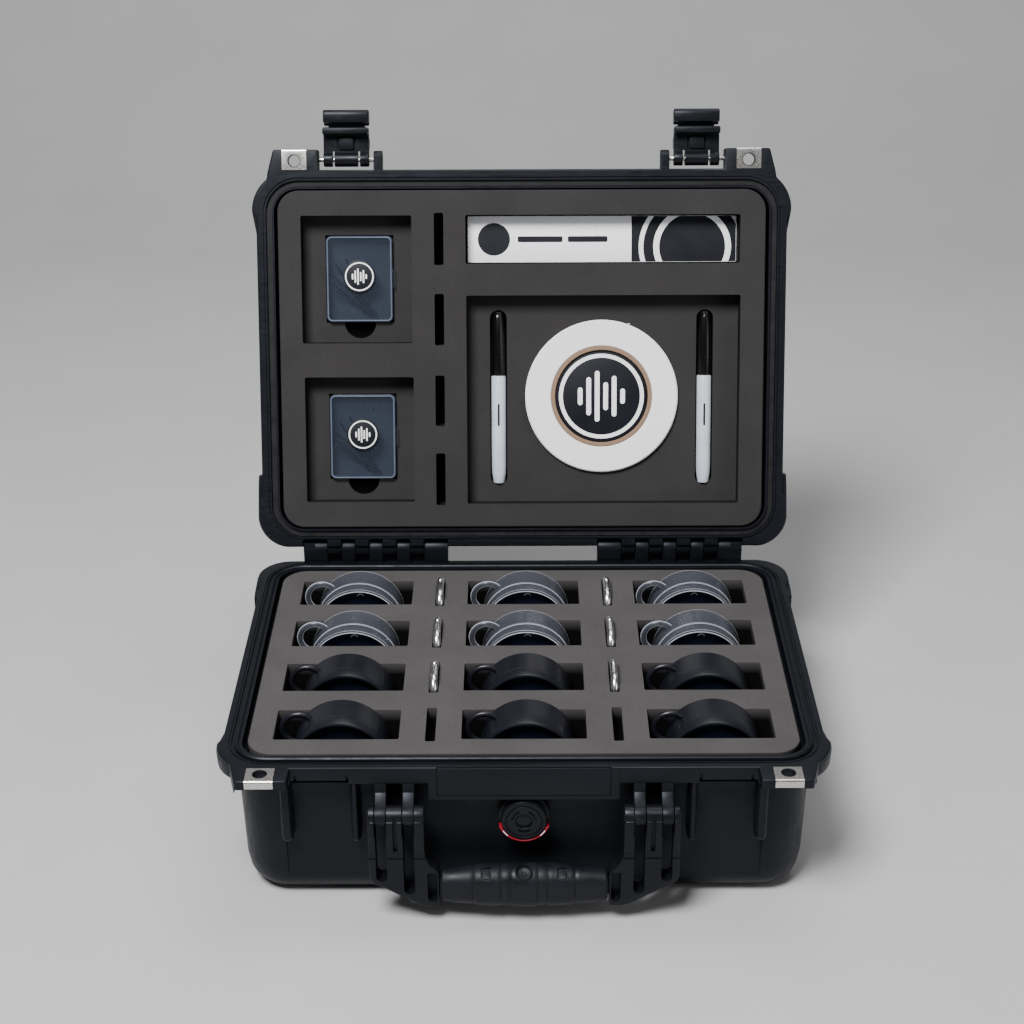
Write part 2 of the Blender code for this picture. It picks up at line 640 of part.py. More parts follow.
def base_foam():
    rings = ((FOAM_LOW, 180.8, 123.6, 17), (FOAM_TOP, 182.2, 126.0, 18))
    block = loft([lift(rounded_rect(hx, hy, r, 4), z) for z, hx, hy, r in rings])
    hx, hy = POD_SLOT
    cuts = [box(x - hx, x + hx, y - hy, y + hy, POD_SLOT_FLOOR, 130) for x in POD_COLUMNS for y in POD_ROWS]
    cx, cy = CLIP_SLOT
    cuts += [box(x - cx, x + cx, y - cy, y + cy, CLIP_SLOT_FLOOR, 130) for x in CLIP_COLUMNS for y in POD_ROWS]
    make("base_foam", "base_foam", [block], cuts)
    pad = prism(rounded_rect(180.3, 122.8, 14, 4), FLOOR_Z + GAP, FOAM_LOW - GAP)
    make("base_foam_pad", "base_foam", [pad])


def pod(name, material, x, y):
    """A round monitor pod on its edge, its screw cap to the front, with a carrying ring."""
    profile = ((POD_HALF_T, 29.4), (POD_HALF_T - 2.2, POD_R), (-POD_HALF_T + 0.8, POD_R), (-POD_HALF_T, 31.2),
               (-POD_HALF_T, 30.0), (-POD_HALF_T + 6.0, 30.0))
    shell = turned([(y + a, r) for a, r in profile], "Y", x, POD_Z, 24)
    middle = Vector((x, y, POD_Z)) + Vector(RING_PLACE)
    turns = [2 * math.pi * k / 12 for k in range(12)]
    path = [middle + RING_R * Vector((math.cos(t), 0, math.sin(t))) for t in turns]
    ring = tube_loop(path, RING_TUBE, 6, Vector((0, 1, 0)))
    return make(name, material, [shell, ring], (), (x, y, POD_Z))


def clip(name, x, y):
    """An oval snap ring standing on edge in its slot."""
    half_y, half_z = CLIP_HALF[0] - CLIP_TUBE, CLIP_HALF[1] - CLIP_TUBE
    outline = rounded_rect(half_y, half_z, half_z - 0.3, 3, y, CLIP_Z)
    path = lift(outline, x, "X")
    return make(name, "chrome", [tube_loop(path, CLIP_TUBE, 6, Vector((1, 0, 0)))], (), (x, y, CLIP_Z))


def base_contents():
    for row, y in enumerate(POD_ROWS, 1):
        for column, x in enumerate(POD_COLUMNS, 1):
            kind = "clear" if row <= 2 else "black"
            pod(f"{kind}_pod_{row}_{column}", f"{kind}_pod", x + POD_SHIFT, y)
    for side, x in zip(("left", "right"), CLIP_COLUMNS):
        for row, y in enumerate(POD_ROWS[:3], 1):
            clip(f"snap_clip_{side}_{row}", x, y)


# ---------------------------------------------------------------- lid foam and its contents

def lid_foam(lid):
    z0, z1 = LID_FOAM_RIM, LID_TRAY_Z - 0.1
    frame = prism(rounded_rect(183.1, 127.6, 16, 4), z0, z1)
    slots = [box(*LID_SLOTS_X, a, b, z0 - 5, LID_SLOT_ROOF) for a, b in LID_SLOTS_Y]
    windows = [box(*w, z0 - 5, z1 + 5) for w in (*LEFT_WINDOWS, CARD_WINDOW, TAPE_WINDOW)]
    hinge = (0, HINGE_Y, HINGE_Z)
    make("lid_foam_frame", "lid_foam", [frame], slots + windows, hinge, lid)
    rings = ((LID_TRAY_Z + 0.2, 183.0, 127.3, 16), (LID_FOAM_BACK, 182.2, 125.9, 16))
    tray = loft([lift(rounded_rect(hx, hy, r, 4), z) for z, hx, hy, r in rings])
    slots = [box(*LID_SLOTS_X, a, b, z0 - 5, LID_SLOT_ROOF) for a, b in LID_SLOTS_Y]
    make("lid_foam_tray", "lid_foam", [tray], slots + tray_pockets(), hinge, lid)


def tray_pockets():
    front = LID_TRAY_Z - 5
    pockets = []
    hx, hy = BOX_HALF[0] + 0.5, BOX_HALF[1] + 0.5
    for x, y in PARTS_BOXES.values():
        pocket = box(x - hx, x + hx, y - hy, y + hy, front, BOX_BACK + GAP)
        finger = rod("Z", x, y + hy, 12.0, front, BOX_BACK - 4, 16)
        pockets.append(loft_from(combined([pocket, finger], [])))
    pockets.append(rod("Z", *TAPE, TAPE_R + 0.5, front, TAPE_Z[1] + GAP, 32))
    for x in MARKERS_X.values():
        half = MARKER_R + 0.5
        slot = rounded_rect(half, (MARKER_Y[1] - MARKER_Y[0]) / 2 + 1, half - 0.1, 4, x, sum(MARKER_Y) / 2)
        pockets.append(prism(slot, front, MARKER_Z + MARKER_R + GAP))
    return pockets


def parts_boxes(lid):
    for level, (x, y) in PARTS_BOXES.items():
        outline = rounded_rect(*BOX_HALF, 3.0, 3, x, y)
        cavity = prism(rounded_rect(BOX_HALF[0] - 1.6, BOX_HALF[1] - 1.6, 2.0, 3, x, y), BOX_SPLIT - 3, BOX_BACK - 1.6)
        make(f"parts_box_{level}", "box_plastic", [prism(outline, BOX_SPLIT + 0.3, BOX_BACK)], [cavity],
             (x, y, BOX_BACK), lid)
        make(f"parts_box_lid_{level}", "box_plastic", [prism(outline, BOX_FACE, BOX_SPLIT)], (),
             (x - BOX_HALF[0], y, BOX_HINGE_Z), lid)


def tape_and_core(lid):
    x, y = TAPE
    low, high = TAPE_Z
    centre = (x, y, low)
    inner, outer = TAPE_CORE_R
    roll = ((low, outer + GAP), (low, TAPE_R), (high, TAPE_R), (high, outer + GAP))
    make("tape_roll", "tape_paper", [turned_ring(roll, "Z", x, y, 32)], (), centre, lid)
    core = ((low, inner), (low, outer), (high, outer), (high, inner))
    make("tape_core", "cardboard", [turned_ring(core, "Z", x, y, 32)], (), centre, lid)
    make("core_disc", "core_print", [rod("Z", x, y, inner - GAP, low + 2.2, high, 32)], (), centre, lid)


def markers(lid):
    for side, x in MARKERS_X.items():
        start, end = MARKER_Y
        cap = ((start, 3.4), (start + 1.5, 4.6), (CAP_END_Y - 0.3, MARKER_R))
        barrel = ((CAP_END_Y, 5.2), (CAP_END_Y + 0.5, 5.5), (end - 8.0, 5.5), (end - 1.5, 4.6), (end, 3.2))
        clip_bar = box(x - 1.6, x + 1.6, start + 3, start + 36, MARKER_Z - MARKER_R - 0.4, MARKER_Z - 3)
        place = (x, sum(MARKER_Y) / 2, MARKER_Z)
        make(f"marker_barrel_{side}", "marker_barrel", [turned(barrel, "Y", x, MARKER_Z, 12)], (), place, lid)
        make(f"marker_cap_{side}", "marker_cap", [turned(cap, "Y", x, MARKER_Z, 12), clip_bar], (), place, lid)


def printed_card(lid):
    middle = ((CARD[0] + CARD[1]) / 2, (CARD[2] + CARD[3]) / 2, CARD_Z[1])
    make("printed_card", "card_print", [box(*CARD, *CARD_Z)], (), middle, lid)


def main():
    clear_scene()
    lid = lid_empty()
    case_base()
    case_lid(lid)
    lid_gasket(lid)
    hinge_pins()
    padlock_plates(lid)
    latches(lid)
    handle_frame()
    handle_grip()
    handle_pins()
    front_fittings()
    base_foam()
    base_contents()
    lid_foam(lid)
    parts_boxes(lid)
    tape_and_core(lid)
    markers(lid)
    printed_card(lid)
    for obj in bpy.data.objects:
        if not obj.parent:
            obj.location.z -= BASE_Z * MM


main()
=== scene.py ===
"""Finished look of the in-ear monitor case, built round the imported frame. Lengths are millimetres,
turned into metres when an object is made. Heights are drawn from a datum BASE_Z below the case's
underside. Everything in the lid is drawn as if the lid were shut and then opened with OPEN_LID."""
import json
import math

import bmesh
import bpy
from mathutils import Matrix, Vector


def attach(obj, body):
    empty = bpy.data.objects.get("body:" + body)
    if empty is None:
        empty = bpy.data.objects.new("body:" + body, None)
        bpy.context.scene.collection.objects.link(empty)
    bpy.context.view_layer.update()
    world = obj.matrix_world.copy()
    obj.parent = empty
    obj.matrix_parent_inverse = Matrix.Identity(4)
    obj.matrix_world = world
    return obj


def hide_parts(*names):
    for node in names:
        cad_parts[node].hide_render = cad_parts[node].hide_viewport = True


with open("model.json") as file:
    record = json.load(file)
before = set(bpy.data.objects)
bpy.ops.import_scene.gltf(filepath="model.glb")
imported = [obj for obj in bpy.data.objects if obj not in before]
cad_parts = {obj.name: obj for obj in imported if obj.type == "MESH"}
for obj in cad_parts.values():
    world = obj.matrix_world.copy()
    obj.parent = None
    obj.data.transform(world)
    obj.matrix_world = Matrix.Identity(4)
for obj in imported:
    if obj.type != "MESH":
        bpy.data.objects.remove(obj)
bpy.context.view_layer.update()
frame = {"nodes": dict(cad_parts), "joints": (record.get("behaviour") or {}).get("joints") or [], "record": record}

MM = 0.001
LID_HINGE = next(j for j in frame["joints"] if j["name"] == "lid_hinge")
HINGE_POINT = Vector(LID_HINGE["pos_m"])
HINGE_Y, HINGE_Z = HINGE_POINT.y / MM, 131.5
BASE_Z = HINGE_Z - HINGE_POINT.z / MM
LOWERED = Matrix.Translation((0, 0, -BASE_Z * MM))
OPEN_LID = (Matrix.Translation(HINGE_POINT)
            @ Matrix.Rotation(math.radians(LID_HINGE["range_deg"][0]), 4, "X")
            @ Matrix.Translation(-HINGE_POINT) @ LOWERED)
NODE_BODY = {n: body for body, names in frame["record"]["behaviour"]["bodies"].items() for n in names}


def lid_node_middle(node):
    """The middle of a node's box in millimetres, as drawn with the lid shut."""
    shut = OPEN_LID.inverted()
    points = [(shut @ v.co) / MM for v in frame["nodes"][node].data.vertices]
    low = Vector([min(p[i] for p in points) for i in range(3)])
    high = Vector([max(p[i] for p in points) for i in range(3)])
    return (low + high) / 2


# ---------------------------------------------------------------- outlines

def arc(cx, cy, radius, start, end, steps):
    angles = [math.radians(start + (end - start) * i / steps) for i in range(steps + 1)]
    return [(cx + radius * math.cos(a), cy + radius * math.sin(a)) for a in angles]


def circle(cx, cy, radius, steps=48):
    return arc(cx, cy, radius, 0, 360, steps)[:-1]


def rounded_rect(hx, hy, radius, steps=8, cx=0.0, cy=0.0):
    points = []
    for sx, sy, start in ((1, 1, 0), (-1, 1, 90), (-1, -1, 180), (1, -1, 270)):
        points += arc(cx + sx * (hx - radius), cy + sy * (hy - radius), radius, start, start + 90, steps)
    return points


def rectangle(x0, x1, y0, y1):
    return [(x0, y0), (x1, y0), (x1, y1), (x0, y1)]


def soften(points, radius, steps=3, closed=True):
    """The outline with its corners rounded by short curves."""
    count = len(points)
    result = []
    for i, p in enumerate(points):
        here = Vector(p)
        if not closed and i in (0, count - 1):
            result.append(tuple(p))
            continue
        before, after = Vector(points[i - 1]) - here, Vector(points[(i + 1) % count]) - here
        if before.length < 1e-6 or after.length < 1e-6 or before.angle(after) > math.radians(160):
            result.append(tuple(p))
            continue
        reach = min(radius, before.length * 0.45, after.length * 0.45)
        a, b = here + before.normalized() * reach, here + after.normalized() * reach
        for k in range(steps + 1):
            t = k / steps
            result.append(tuple((1 - t) ** 2 * a + 2 * t * (1 - t) * here + t ** 2 * b))
    return result


def offset(points, distance):
    """The outline moved inwards by a small distance."""
    count = len(points)
    area = sum(points[i - 1][0] * points[i][1] - points[i][0] * points[i - 1][1] for i in range(count))
    side = 1 if area > 0 else -1
    result = []
    for i in range(count):
        here = Vector(points[i])
        a = (here - Vector(points[i - 1])).normalized()
        b = (Vector(points[(i + 1) % count]) - here).normalized()
        normal_a, normal_b = Vector((-a.y, a.x)) * side, Vector((-b.y, b.x)) * side
        middle = normal_a + normal_b
        middle = middle.normalized() if middle.length > 1e-6 else normal_a
        stretch = max(0.5, middle.dot(normal_a))
        result.append(tuple(here + middle * (distance / stretch)))
    return result


# ---------------------------------------------------------------- solids

def lift(points, value, axis="Z"):
    place = {"Z": lambda a, b: (a, b, value), "Y": lambda a, b: (a, value, b), "X": lambda a,
             b: (value, a, b)}
    return [Vector(place[axis](a, b)) for a, b in points]


def loft(rings, closed_loop=False):
    bm = bmesh.new()
    rows = [[bm.verts.new(p) for p in ring] for ring in rings]
    pairs = list(zip(rows, rows[1:]))
    if closed_loop:
        pairs.append((rows[-1], rows[0]))
    else:
        bm.faces.new(rows[0])
        bm.faces.new(rows[-1])
    for low, high in pairs:
        for i in range(len(low)):
            j = (i + 1) % len(low)
            bm.faces.new((low[i], low[j], high[j], high[i]))
    bmesh.ops.recalc_face_normals(bm, faces=bm.faces)
    return bm


def prism(points, low, high, axis="Z", edge=0.0):
    """An extruded outline; edge rounds its two rims."""
    if edge <= 0:
        return loft([lift(points, low, axis), lift(points, high, axis)])
    turns = [math.radians(a) for a in (90, 60, 30, 0)]
    rings = [lift(offset(points, edge * (1 - math.cos(t))), low + edge * (1 - math.sin(t)),
                  axis) for t in turns]
    rings += [lift(offset(points, edge * (1 - math.cos(t))), high - edge * (1 - math.sin(t)), axis)
              for t in reversed(turns)]
    return loft(rings)


def box(x0, x1, y0, y1, z0, z1):
    return prism(rectangle(x0, x1, y0, y1), z0, z1)


def rod(axis, a, b, radius, low, high, steps=32, edge=0.0):
    return prism(circle(a, b, radius, steps), low, high, axis, edge)


def turned(profile, axis, a, b, steps=48):
    """A solid of revolution through (place along the axis, radius) pairs."""
    return loft([lift(circle(a, b, max(radius, 0.02), steps), place, axis) for place, radius in profile])


def turned_ring(profile, axis, a, b, steps=48):
    rings = [lift(circle(a, b, radius, steps), place, axis) for place, radius in profile]
    return loft(rings, closed_loop=True)


def washer(low, high, inner, outer, axis, a, b, steps=48):
    """A flat ring between two places along the axis."""
    profile = ((low, inner), (low, outer), (high, outer), (high, inner))
    return turned_ring(profile, axis, a, b, steps)


def frame_ring(sizes, z0, z1, radius=20.0, edge=0.0):
    """A rectangular ring with round corners; sizes are x inner, x outer, y inner, y outer."""
    x_in, x_out, y_in, y_out = sizes
    rings = []
    for at_outer, at_top in ((1, 0), (1, 1), (0, 1), (0, 0)):
        hx, hy = (x_out, y_out) if at_outer else (x_in, y_in)
        corner = radius + x_out - x_in if at_outer else radius
        side = rounded_rect(hx, hy, corner)
        if not (edge and at_top):
            rings.append(lift(side, z1 if at_top else z0))
            continue
        inward = -edge if at_outer else edge
        rim = [lift(side, z1 - edge), lift(rounded_rect(hx + inward, hy + inward, corner), z1)]
        rings += rim if at_outer else rim[::-1]
    return loft(rings, closed_loop=True)


def tube(path, radius, sides=16, flat_axis=Vector((0, 1, 0)), closed=True):
    """A round tube along points in the plane across flat_axis; radius may be a list."""
    rings = []
    count = len(path)
    for i, point in enumerate(path):
        after = path[(i + 1) % count] if closed or i < count - 1 else point
        before = path[i - 1] if closed or i > 0 else point
        along = (after - before).normalized()
        out = along.cross(flat_axis).normalized()
        size = radius[i] if isinstance(radius, list) else radius
        turns = [2 * math.pi * k / sides for k in range(sides)]
        rings.append([point + size * (math.cos(t) * out + math.sin(t) * flat_axis) for t in turns])
    return loft(rings, closed_loop=closed)


def temporary(bm):
    mesh = bpy.data.meshes.new("tool")
    bm.to_mesh(mesh)
    bm.free()
    obj = bpy.data.objects.new("tool", mesh)
    bpy.context.scene.collection.objects.link(obj)
    return obj


def combined(adds, cuts=()):
    """The first solid, joined with the other adds, with every cut taken out, as a bmesh."""
    body = temporary(adds[0])
    tools = []
    for operation, solids in (("UNION", adds[1:]), ("DIFFERENCE", cuts)):
        for bm in solids:
            tool = temporary(bm)
            step = body.modifiers.new("step", "BOOLEAN")
            step.operation = operation
            step.solver = "EXACT"
            step.object = tool
            tools.append(tool)
    depsgraph = bpy.context.evaluated_depsgraph_get()
    mesh = bpy.data.meshes.new_from_object(body.evaluated_get(depsgraph))
    for obj in [body, *tools]:
        bpy.data.objects.remove(obj, do_unlink=True)
    bm = bmesh.new()
    bm.from_mesh(mesh)
    bpy.data.meshes.remove(mesh)
    bmesh.ops.remove_doubles(bm, verts=bm.verts, dist=0.0005)
    return bm


SHARP = math.radians(32)      # edges sharper than this stay creased


def piece(name, bm, material, body, replaces=(), in_lid=False):
    """A finished piece from a solid in millimetres, riding on its body."""
    bmesh.ops.scale(bm, verts=bm.verts, vec=(MM, MM, MM))
    mesh = bpy.data.meshes.new(name)
    bm.to_mesh(mesh)
    bm.free()
    mesh.materials.append(material)
    mesh.shade_smooth()
    mesh.set_sharp_from_angle(angle=SHARP)
    obj = bpy.data.objects.new(name, mesh)
    bpy.context.scene.collection.objects.link(obj)
    obj.matrix_world = OPEN_LID if in_lid else LOWERED
    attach(obj, body)
    if replaces:
        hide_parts(*replaces)
    return obj


def lid_piece(name, bm, material, body, replaces=()):
    return piece(name, bm, material, body, replaces, in_lid=True)


def both_sides(pair):
    """The same stretch of X on the right and mirrored on the left, as (sign, low, high)."""
    low, high = pair
    return ((1, low, high), (-1, -high, -low))


# ---------------------------------------------------------------- materials

def new_material(name, color, roughness, metallic=0.0, **sockets):
    material = bpy.data.materials.new(name)
    material.use_nodes = True
    tree = material.node_tree
    shader = tree.nodes["Principled BSDF"]
    shader.inputs["Base Color"].default_value = (*color, 1.0)
    shader.inputs["Roughness"].default_value = roughness
    shader.inputs["Metallic"].default_value = metallic
    for key, value in sockets.items():
        shader.inputs[key.replace("_", " ")].default_value = value
    return material, tree, shader


def noise(tree, scale, detail=4.0, stretch=(1, 1, 1), distortion=0.0):
    """Noise over the object's own coordinates, in cycles per metre."""
    coords = tree.nodes.new("ShaderNodeTexCoord")
    mapping = tree.nodes.new("ShaderNodeMapping")
    mapping.inputs["Scale"].default_value = stretch
    texture = tree.nodes.new("ShaderNodeTexNoise")
    texture.inputs["Scale"].default_value = scale
    texture.inputs["Detail"].default_value = detail
    texture.inputs["Distortion"].default_value = distortion
    tree.links.new(coords.outputs["Object"], mapping.inputs["Vector"])
    tree.links.new(mapping.outputs["Vector"], texture.inputs["Vector"])
    return texture.outputs["Fac"]


def cells(tree, scale):
    coords = tree.nodes.new("ShaderNodeTexCoord")
    texture = tree.nodes.new("ShaderNodeTexVoronoi")
    texture.inputs["Scale"].default_value = scale
    tree.links.new(coords.outputs["Object"], texture.inputs["Vector"])
    return texture.outputs["Distance"]


def ramp(tree, source, stops):
    """A colour ramp; stops are (place, colour) pairs."""
    node = tree.nodes.new("ShaderNodeValToRGB")
    elements = node.color_ramp.elements
    while len(elements) < len(stops):
        elements.new(0.5)
    for element, (place, color) in zip(elements, stops):
        element.position = place
        element.color = (*color, 1.0)
    tree.links.new(source, node.inputs["Fac"])
    return node.outputs["Color"]


def span(tree, source, low, high, from_low=0.3, from_high=0.7):
    node = tree.nodes.new("ShaderNodeMapRange")
    node.inputs["From Min"].default_value = from_low
    node.inputs["From Max"].default_value = from_high
    node.inputs["To Min"].default_value = low
    node.inputs["To Max"].default_value = high
    tree.links.new(source, node.inputs["Value"])
    return node.outputs["Result"]


def mixed(tree, factor, first, second):
    """Two colours, plain or linked, mixed by a factor."""
    node = tree.nodes.new("ShaderNodeMix")
    node.data_type = "RGBA"
    tree.links.new(factor, node.inputs[0])
    for socket, value in ((node.inputs[6], first), (node.inputs[7], second)):
        if isinstance(value, tuple):
            socket.default_value = (*value, 1.0)
        else:
            tree.links.new(value, socket)
    return node.outputs[2]


def bump(tree, shader, layers):
    """Bump layers of (height, strength, distance in millimetres), finest last."""
    normal = None
    for height, strength, distance in layers:
        node = tree.nodes.new("ShaderNodeBump")
        node.inputs["Strength"].default_value = strength
        node.inputs["Distance"].default_value = distance * MM
        tree.links.new(height, node.inputs["Height"])
        if normal:
            tree.links.new(normal, node.inputs["Normal"])
        normal = node.outputs["Normal"]
    tree.links.new(normal, shader.inputs["Normal"])


def mottled(tree, source, color, spread, low=0.3):
    """The colour, darker and lighter by the spread, following a source."""
    dark, light = (tuple(c * f for c in color) for f in (1 - spread, 1 + spread))
    return ramp(tree, source, ((low, dark), (1 - low, light)))


def drive(tree, shader, **sockets):
    """Links sources to the shader's sockets."""
    for key, source in sockets.items():
        tree.links.new(source, shader.inputs[key.replace("_", " ")])


def moulded_plastic(name, color, roughness=0.42, grain=0.35):
    """Spark-textured moulded plastic with faint scuffs."""
    material, tree, shader = new_material(name, color, roughness)
    shader.inputs["Specular IOR Level"].default_value = 0.20
    shader.inputs["Specular Tint"].default_value = (0.84, 0.90, 1.0, 1.0)
    patches = noise(tree, 18, 5)
    scuffs = noise(tree, 90, 8, (1, 6, 1), 0.6)
    body = mottled(tree, patches, color, 0.22)
    worn = tuple(c * 2.2 + 0.004 for c in color)
    tint = mixed(tree, span(tree, scuffs, 0.0, 0.30, 0.62, 0.80), body, worn)
    drive(tree, shader, Base_Color=tint)
    drive(tree, shader, Roughness=span(tree, scuffs, roughness - 0.07, roughness + 0.1))
    bump(tree, shader, ((patches, 0.08, 0.4), (noise(tree, 2600, 2), grain, 0.05)))
    return material


def painted_depth_shade(tree, source, face, depth, shade, body):
    """Painted shade: the body colour fading to a dark one from a height down to a depth below it."""
    coords = tree.nodes.new("ShaderNodeTexCoord")
    split = tree.nodes.new("ShaderNodeSeparateXYZ")
    tree.links.new(coords.outputs["Object"], split.inputs[0])
    factor = span(tree, split.outputs["Z"], 0.0, 1.0, face * MM, (face + depth) * MM)
    return mixed(tree, factor, source, tuple(c * shade for c in body))


def cut_foam(name, color, face, depth, shade):
    """Closed-cell foam: a fine pitted grain, soft mottling and rubbed marks, its cut sides darkened
    by painted shade from its face to a depth behind it."""
    material, tree, shader = new_material(name, color, 0.95)
    shader.inputs["Specular IOR Level"].default_value = 0.06
    mottle = noise(tree, 26, 6, distortion=0.4)
    rubbed = noise(tree, 60, 6, (1, 3.5, 1), 1.2)
    grain = noise(tree, 1500, 3)
    body = mottled(tree, mottle, color, 0.08)
    marks = mixed(tree, span(tree, rubbed, 0.0, 0.3, 0.66, 0.82), body, tuple(c * 0.62 for c in color))
    speckle = mixed(tree, span(tree, grain, 0.0, 0.55, 0.56, 0.74), marks, tuple(c * 1.7 for c in color))
    pits = mixed(tree, span(tree, cells(tree, 1100), 0.6, 0.0, 0.0, 0.32), speckle,
                 tuple(c * 0.5 for c in color))
    # the colour carries painted shade on the cut sides beyond the face
    drive(tree, shader, Base_Color=painted_depth_shade(tree, pits, face, depth, shade, color))
    bump(tree, shader, ((mottle, 0.15, 0.6), (grain, 0.5, 0.12), (cells(tree, 1100), 0.4, 0.12)))
    return material


def brushed_steel(name, color=(0.60, 0.58, 0.55), roughness=0.26):
    material, tree, shader = new_material(name, color, roughness, 1.0)
    grain = noise(tree, 420, 6, (1, 14, 14))
    drive(tree, shader, Base_Color=mottled(tree, grain, color, 0.12, 0.35))
    drive(tree, shader, Roughness=span(tree, grain, roughness - 0.08, roughness + 0.12))
    bump(tree, shader, ((grain, 0.12, 0.03),))
    return material


def chrome(name):
    material, tree, shader = new_material(name, (0.90, 0.90, 0.92), 0.22, 1.0)
    smudge = noise(tree, 40, 3)
    drive(tree, shader, Roughness=span(tree, smudge, 0.20, 0.27))
    return material


def soft_rubber(name, color, roughness=0.5):
    material, tree, shader = new_material(name, color, roughness)
    shader.inputs["Specular IOR Level"].default_value = 0.22
    smear = noise(tree, 70, 6, (1, 1, 2), 0.8)
    drive(tree, shader, Base_Color=mottled(tree, smear, color, 0.25))
    drive(tree, shader, Roughness=span(tree, smear, roughness - 0.1, roughness + 0.1))
    bump(tree, shader, ((noise(tree, 1400, 2), 0.25, 0.05),))
    return material


def satin_plastic(name, color, roughness=0.28):
    """Smooth plastic with faint handling marks."""
    material, tree, shader = new_material(name, color, roughness)
    shader.inputs["Specular IOR Level"].default_value = 0.35
    marks = noise(tree, 60, 4)
    drive(tree, shader, Base_Color=mottled(tree, marks, color, 0.1))
    drive(tree, shader, Roughness=span(tree, marks, roughness - 0.03, roughness + 0.04))
    return material


def clear_plastic(name, color, roughness, cover):
    """Thin clear plastic that lets most of what is behind it through."""
    material, tree, shader = new_material(name, color, roughness, Alpha=cover)
    haze = noise(tree, 50, 3)
    drive(tree, shader, Roughness=span(tree, haze, roughness, roughness + 0.05))
    drive(tree, shader, Alpha=span(tree, haze, cover - 0.02, cover + 0.02))
    return material


def wound_paper(name, centre, color):
    """The edge of a wound roll: fine rings round its centre, in the shut lid's coordinates."""
    material, tree, shader = new_material(name, color, 0.82)
    coords = tree.nodes.new("ShaderNodeTexCoord")
    shift = tree.nodes.new("ShaderNodeVectorMath")
    shift.operation = "SUBTRACT"
    shift.inputs[1].default_value = (centre[0] * MM, centre[1] * MM, 0)
    flatten = tree.nodes.new("ShaderNodeVectorMath")
    flatten.operation = "MULTIPLY"
    flatten.inputs[1].default_value = (1, 1, 0)
    length = tree.nodes.new("ShaderNodeVectorMath")
    length.operation = "LENGTH"
    tree.links.new(coords.outputs["Object"], shift.inputs[0])
    tree.links.new(shift.outputs[0], flatten.inputs[0])
    tree.links.new(flatten.outputs[0], length.inputs[0])
    rings = tree.nodes.new("ShaderNodeTexNoise")
    rings.noise_dimensions = "1D"
    rings.inputs["Scale"].default_value = 2600
    rings.inputs["Detail"].default_value = 3
    tree.links.new(length.outputs["Value"], rings.inputs["W"])
    blotch = noise(tree, 60, 5)
    base = mottled(tree, rings.outputs["Fac"], color, 0.07)
    tinted = mixed(tree, span(tree, blotch, 0.0, 0.35, 0.5, 0.75), base,
                   (color[0] * 0.95, color[1] * 0.87, color[2] * 0.83))
    drive(tree, shader, Base_Color=tinted)
    bump(tree, shader, ((rings.outputs["Fac"], 0.5, 0.06), (noise(tree, 1200, 3), 0.2, 0.04)))
    return material


def board(name, color, roughness=0.85, grain=500):
    """Paper or cardboard with short fibres."""
    material, tree, shader = new_material(name, color, roughness)
    fibres = noise(tree, grain, 6, (1, 3, 1), 1.0)
    drive(tree, shader, Base_Color=mottled(tree, fibres, color, 0.08))
    bump(tree, shader, ((fibres, 0.2, 0.04),))
    return material


TAPE_MIDDLE = lid_node_middle("tape_roll")

CASE_BLACK = moulded_plastic("case_black", (0.0042, 0.0047, 0.0066))
LATCH_BLACK = moulded_plastic("latch_black", (0.0045, 0.0048, 0.0062), 0.36, 0.2)
# The last three numbers of each foam set its painted shade: the face height, the depth its cut sides fade over,
# and how dark they end.
BASE_FOAM = cut_foam("base_foam_grey", (0.055, 0.051, 0.052), 120.0, -8.0, 0.05)
LID_FOAM = cut_foam("lid_foam_grey", (0.030, 0.0285, 0.0287), 122.2, 4.0, 0.35)
TRAY_FOAM = cut_foam("lid_tray_grey", (0.030, 0.0285, 0.0287), 138.2, 4.0, 0.05)
STEEL = brushed_steel("stamped_steel")
CHROME = chrome("polished_chrome")
GRIP = soft_rubber("grip_rubber", (0.0055, 0.006, 0.009), 0.5)
SEAL = soft_rubber("seal_rubber", (0.010, 0.010, 0.011), 0.55)
RED = satin_plastic("red_ring", (0.22, 0.002, 0.013), 0.45)
CLEAR = clear_plastic("clear_smoke", (0.060, 0.065, 0.082), 0.22, 0.50)
# Light grey for the painted highlights on the clear pods' edges, nub and ring.
CLEAR_HIGHLIGHT = satin_plastic("clear_painted_highlight", (0.34, 0.35, 0.39), 0.15)
BOX_EDGE = satin_plastic("box_edge", (0.10, 0.12, 0.17), 0.2)
BLACK_POD = satin_plastic("pod_black", (0.005, 0.0055, 0.009), 0.36)
POD_FACE = satin_plastic("pod_face_navy", (0.004, 0.006, 0.015), 0.4)
FROSTED = clear_plastic("box_clear", (0.036, 0.046, 0.066), 0.14, 0.28)
TUB = satin_plastic("box_smoke", (0.040, 0.050, 0.072), 0.3)
BOX_ROD = satin_plastic("box_rods", (0.003, 0.004, 0.007), 0.3)
TAPE_WHITE = wound_paper("tape_edge", (TAPE_MIDDLE.x, TAPE_MIDDLE.y), (0.90, 0.875, 0.87))
CARDBOARD = board("core_board", (0.23, 0.145, 0.095))
NAVY = satin_plastic("print_navy", (0.0022, 0.0028, 0.007), 0.45)
WHITE_PRINT = board("print_white", (0.90, 0.91, 0.93), 0.5, 900)
BARREL = satin_plastic("marker_grey", (0.50, 0.54, 0.60), 0.3)
CAP = satin_plastic("marker_black", (0.002, 0.002, 0.0025), 0.25)
CARD_WHITE = board("card_white", (0.92, 0.93, 0.96), 0.45, 700)


# ---------------------------------------------------------------- case shells

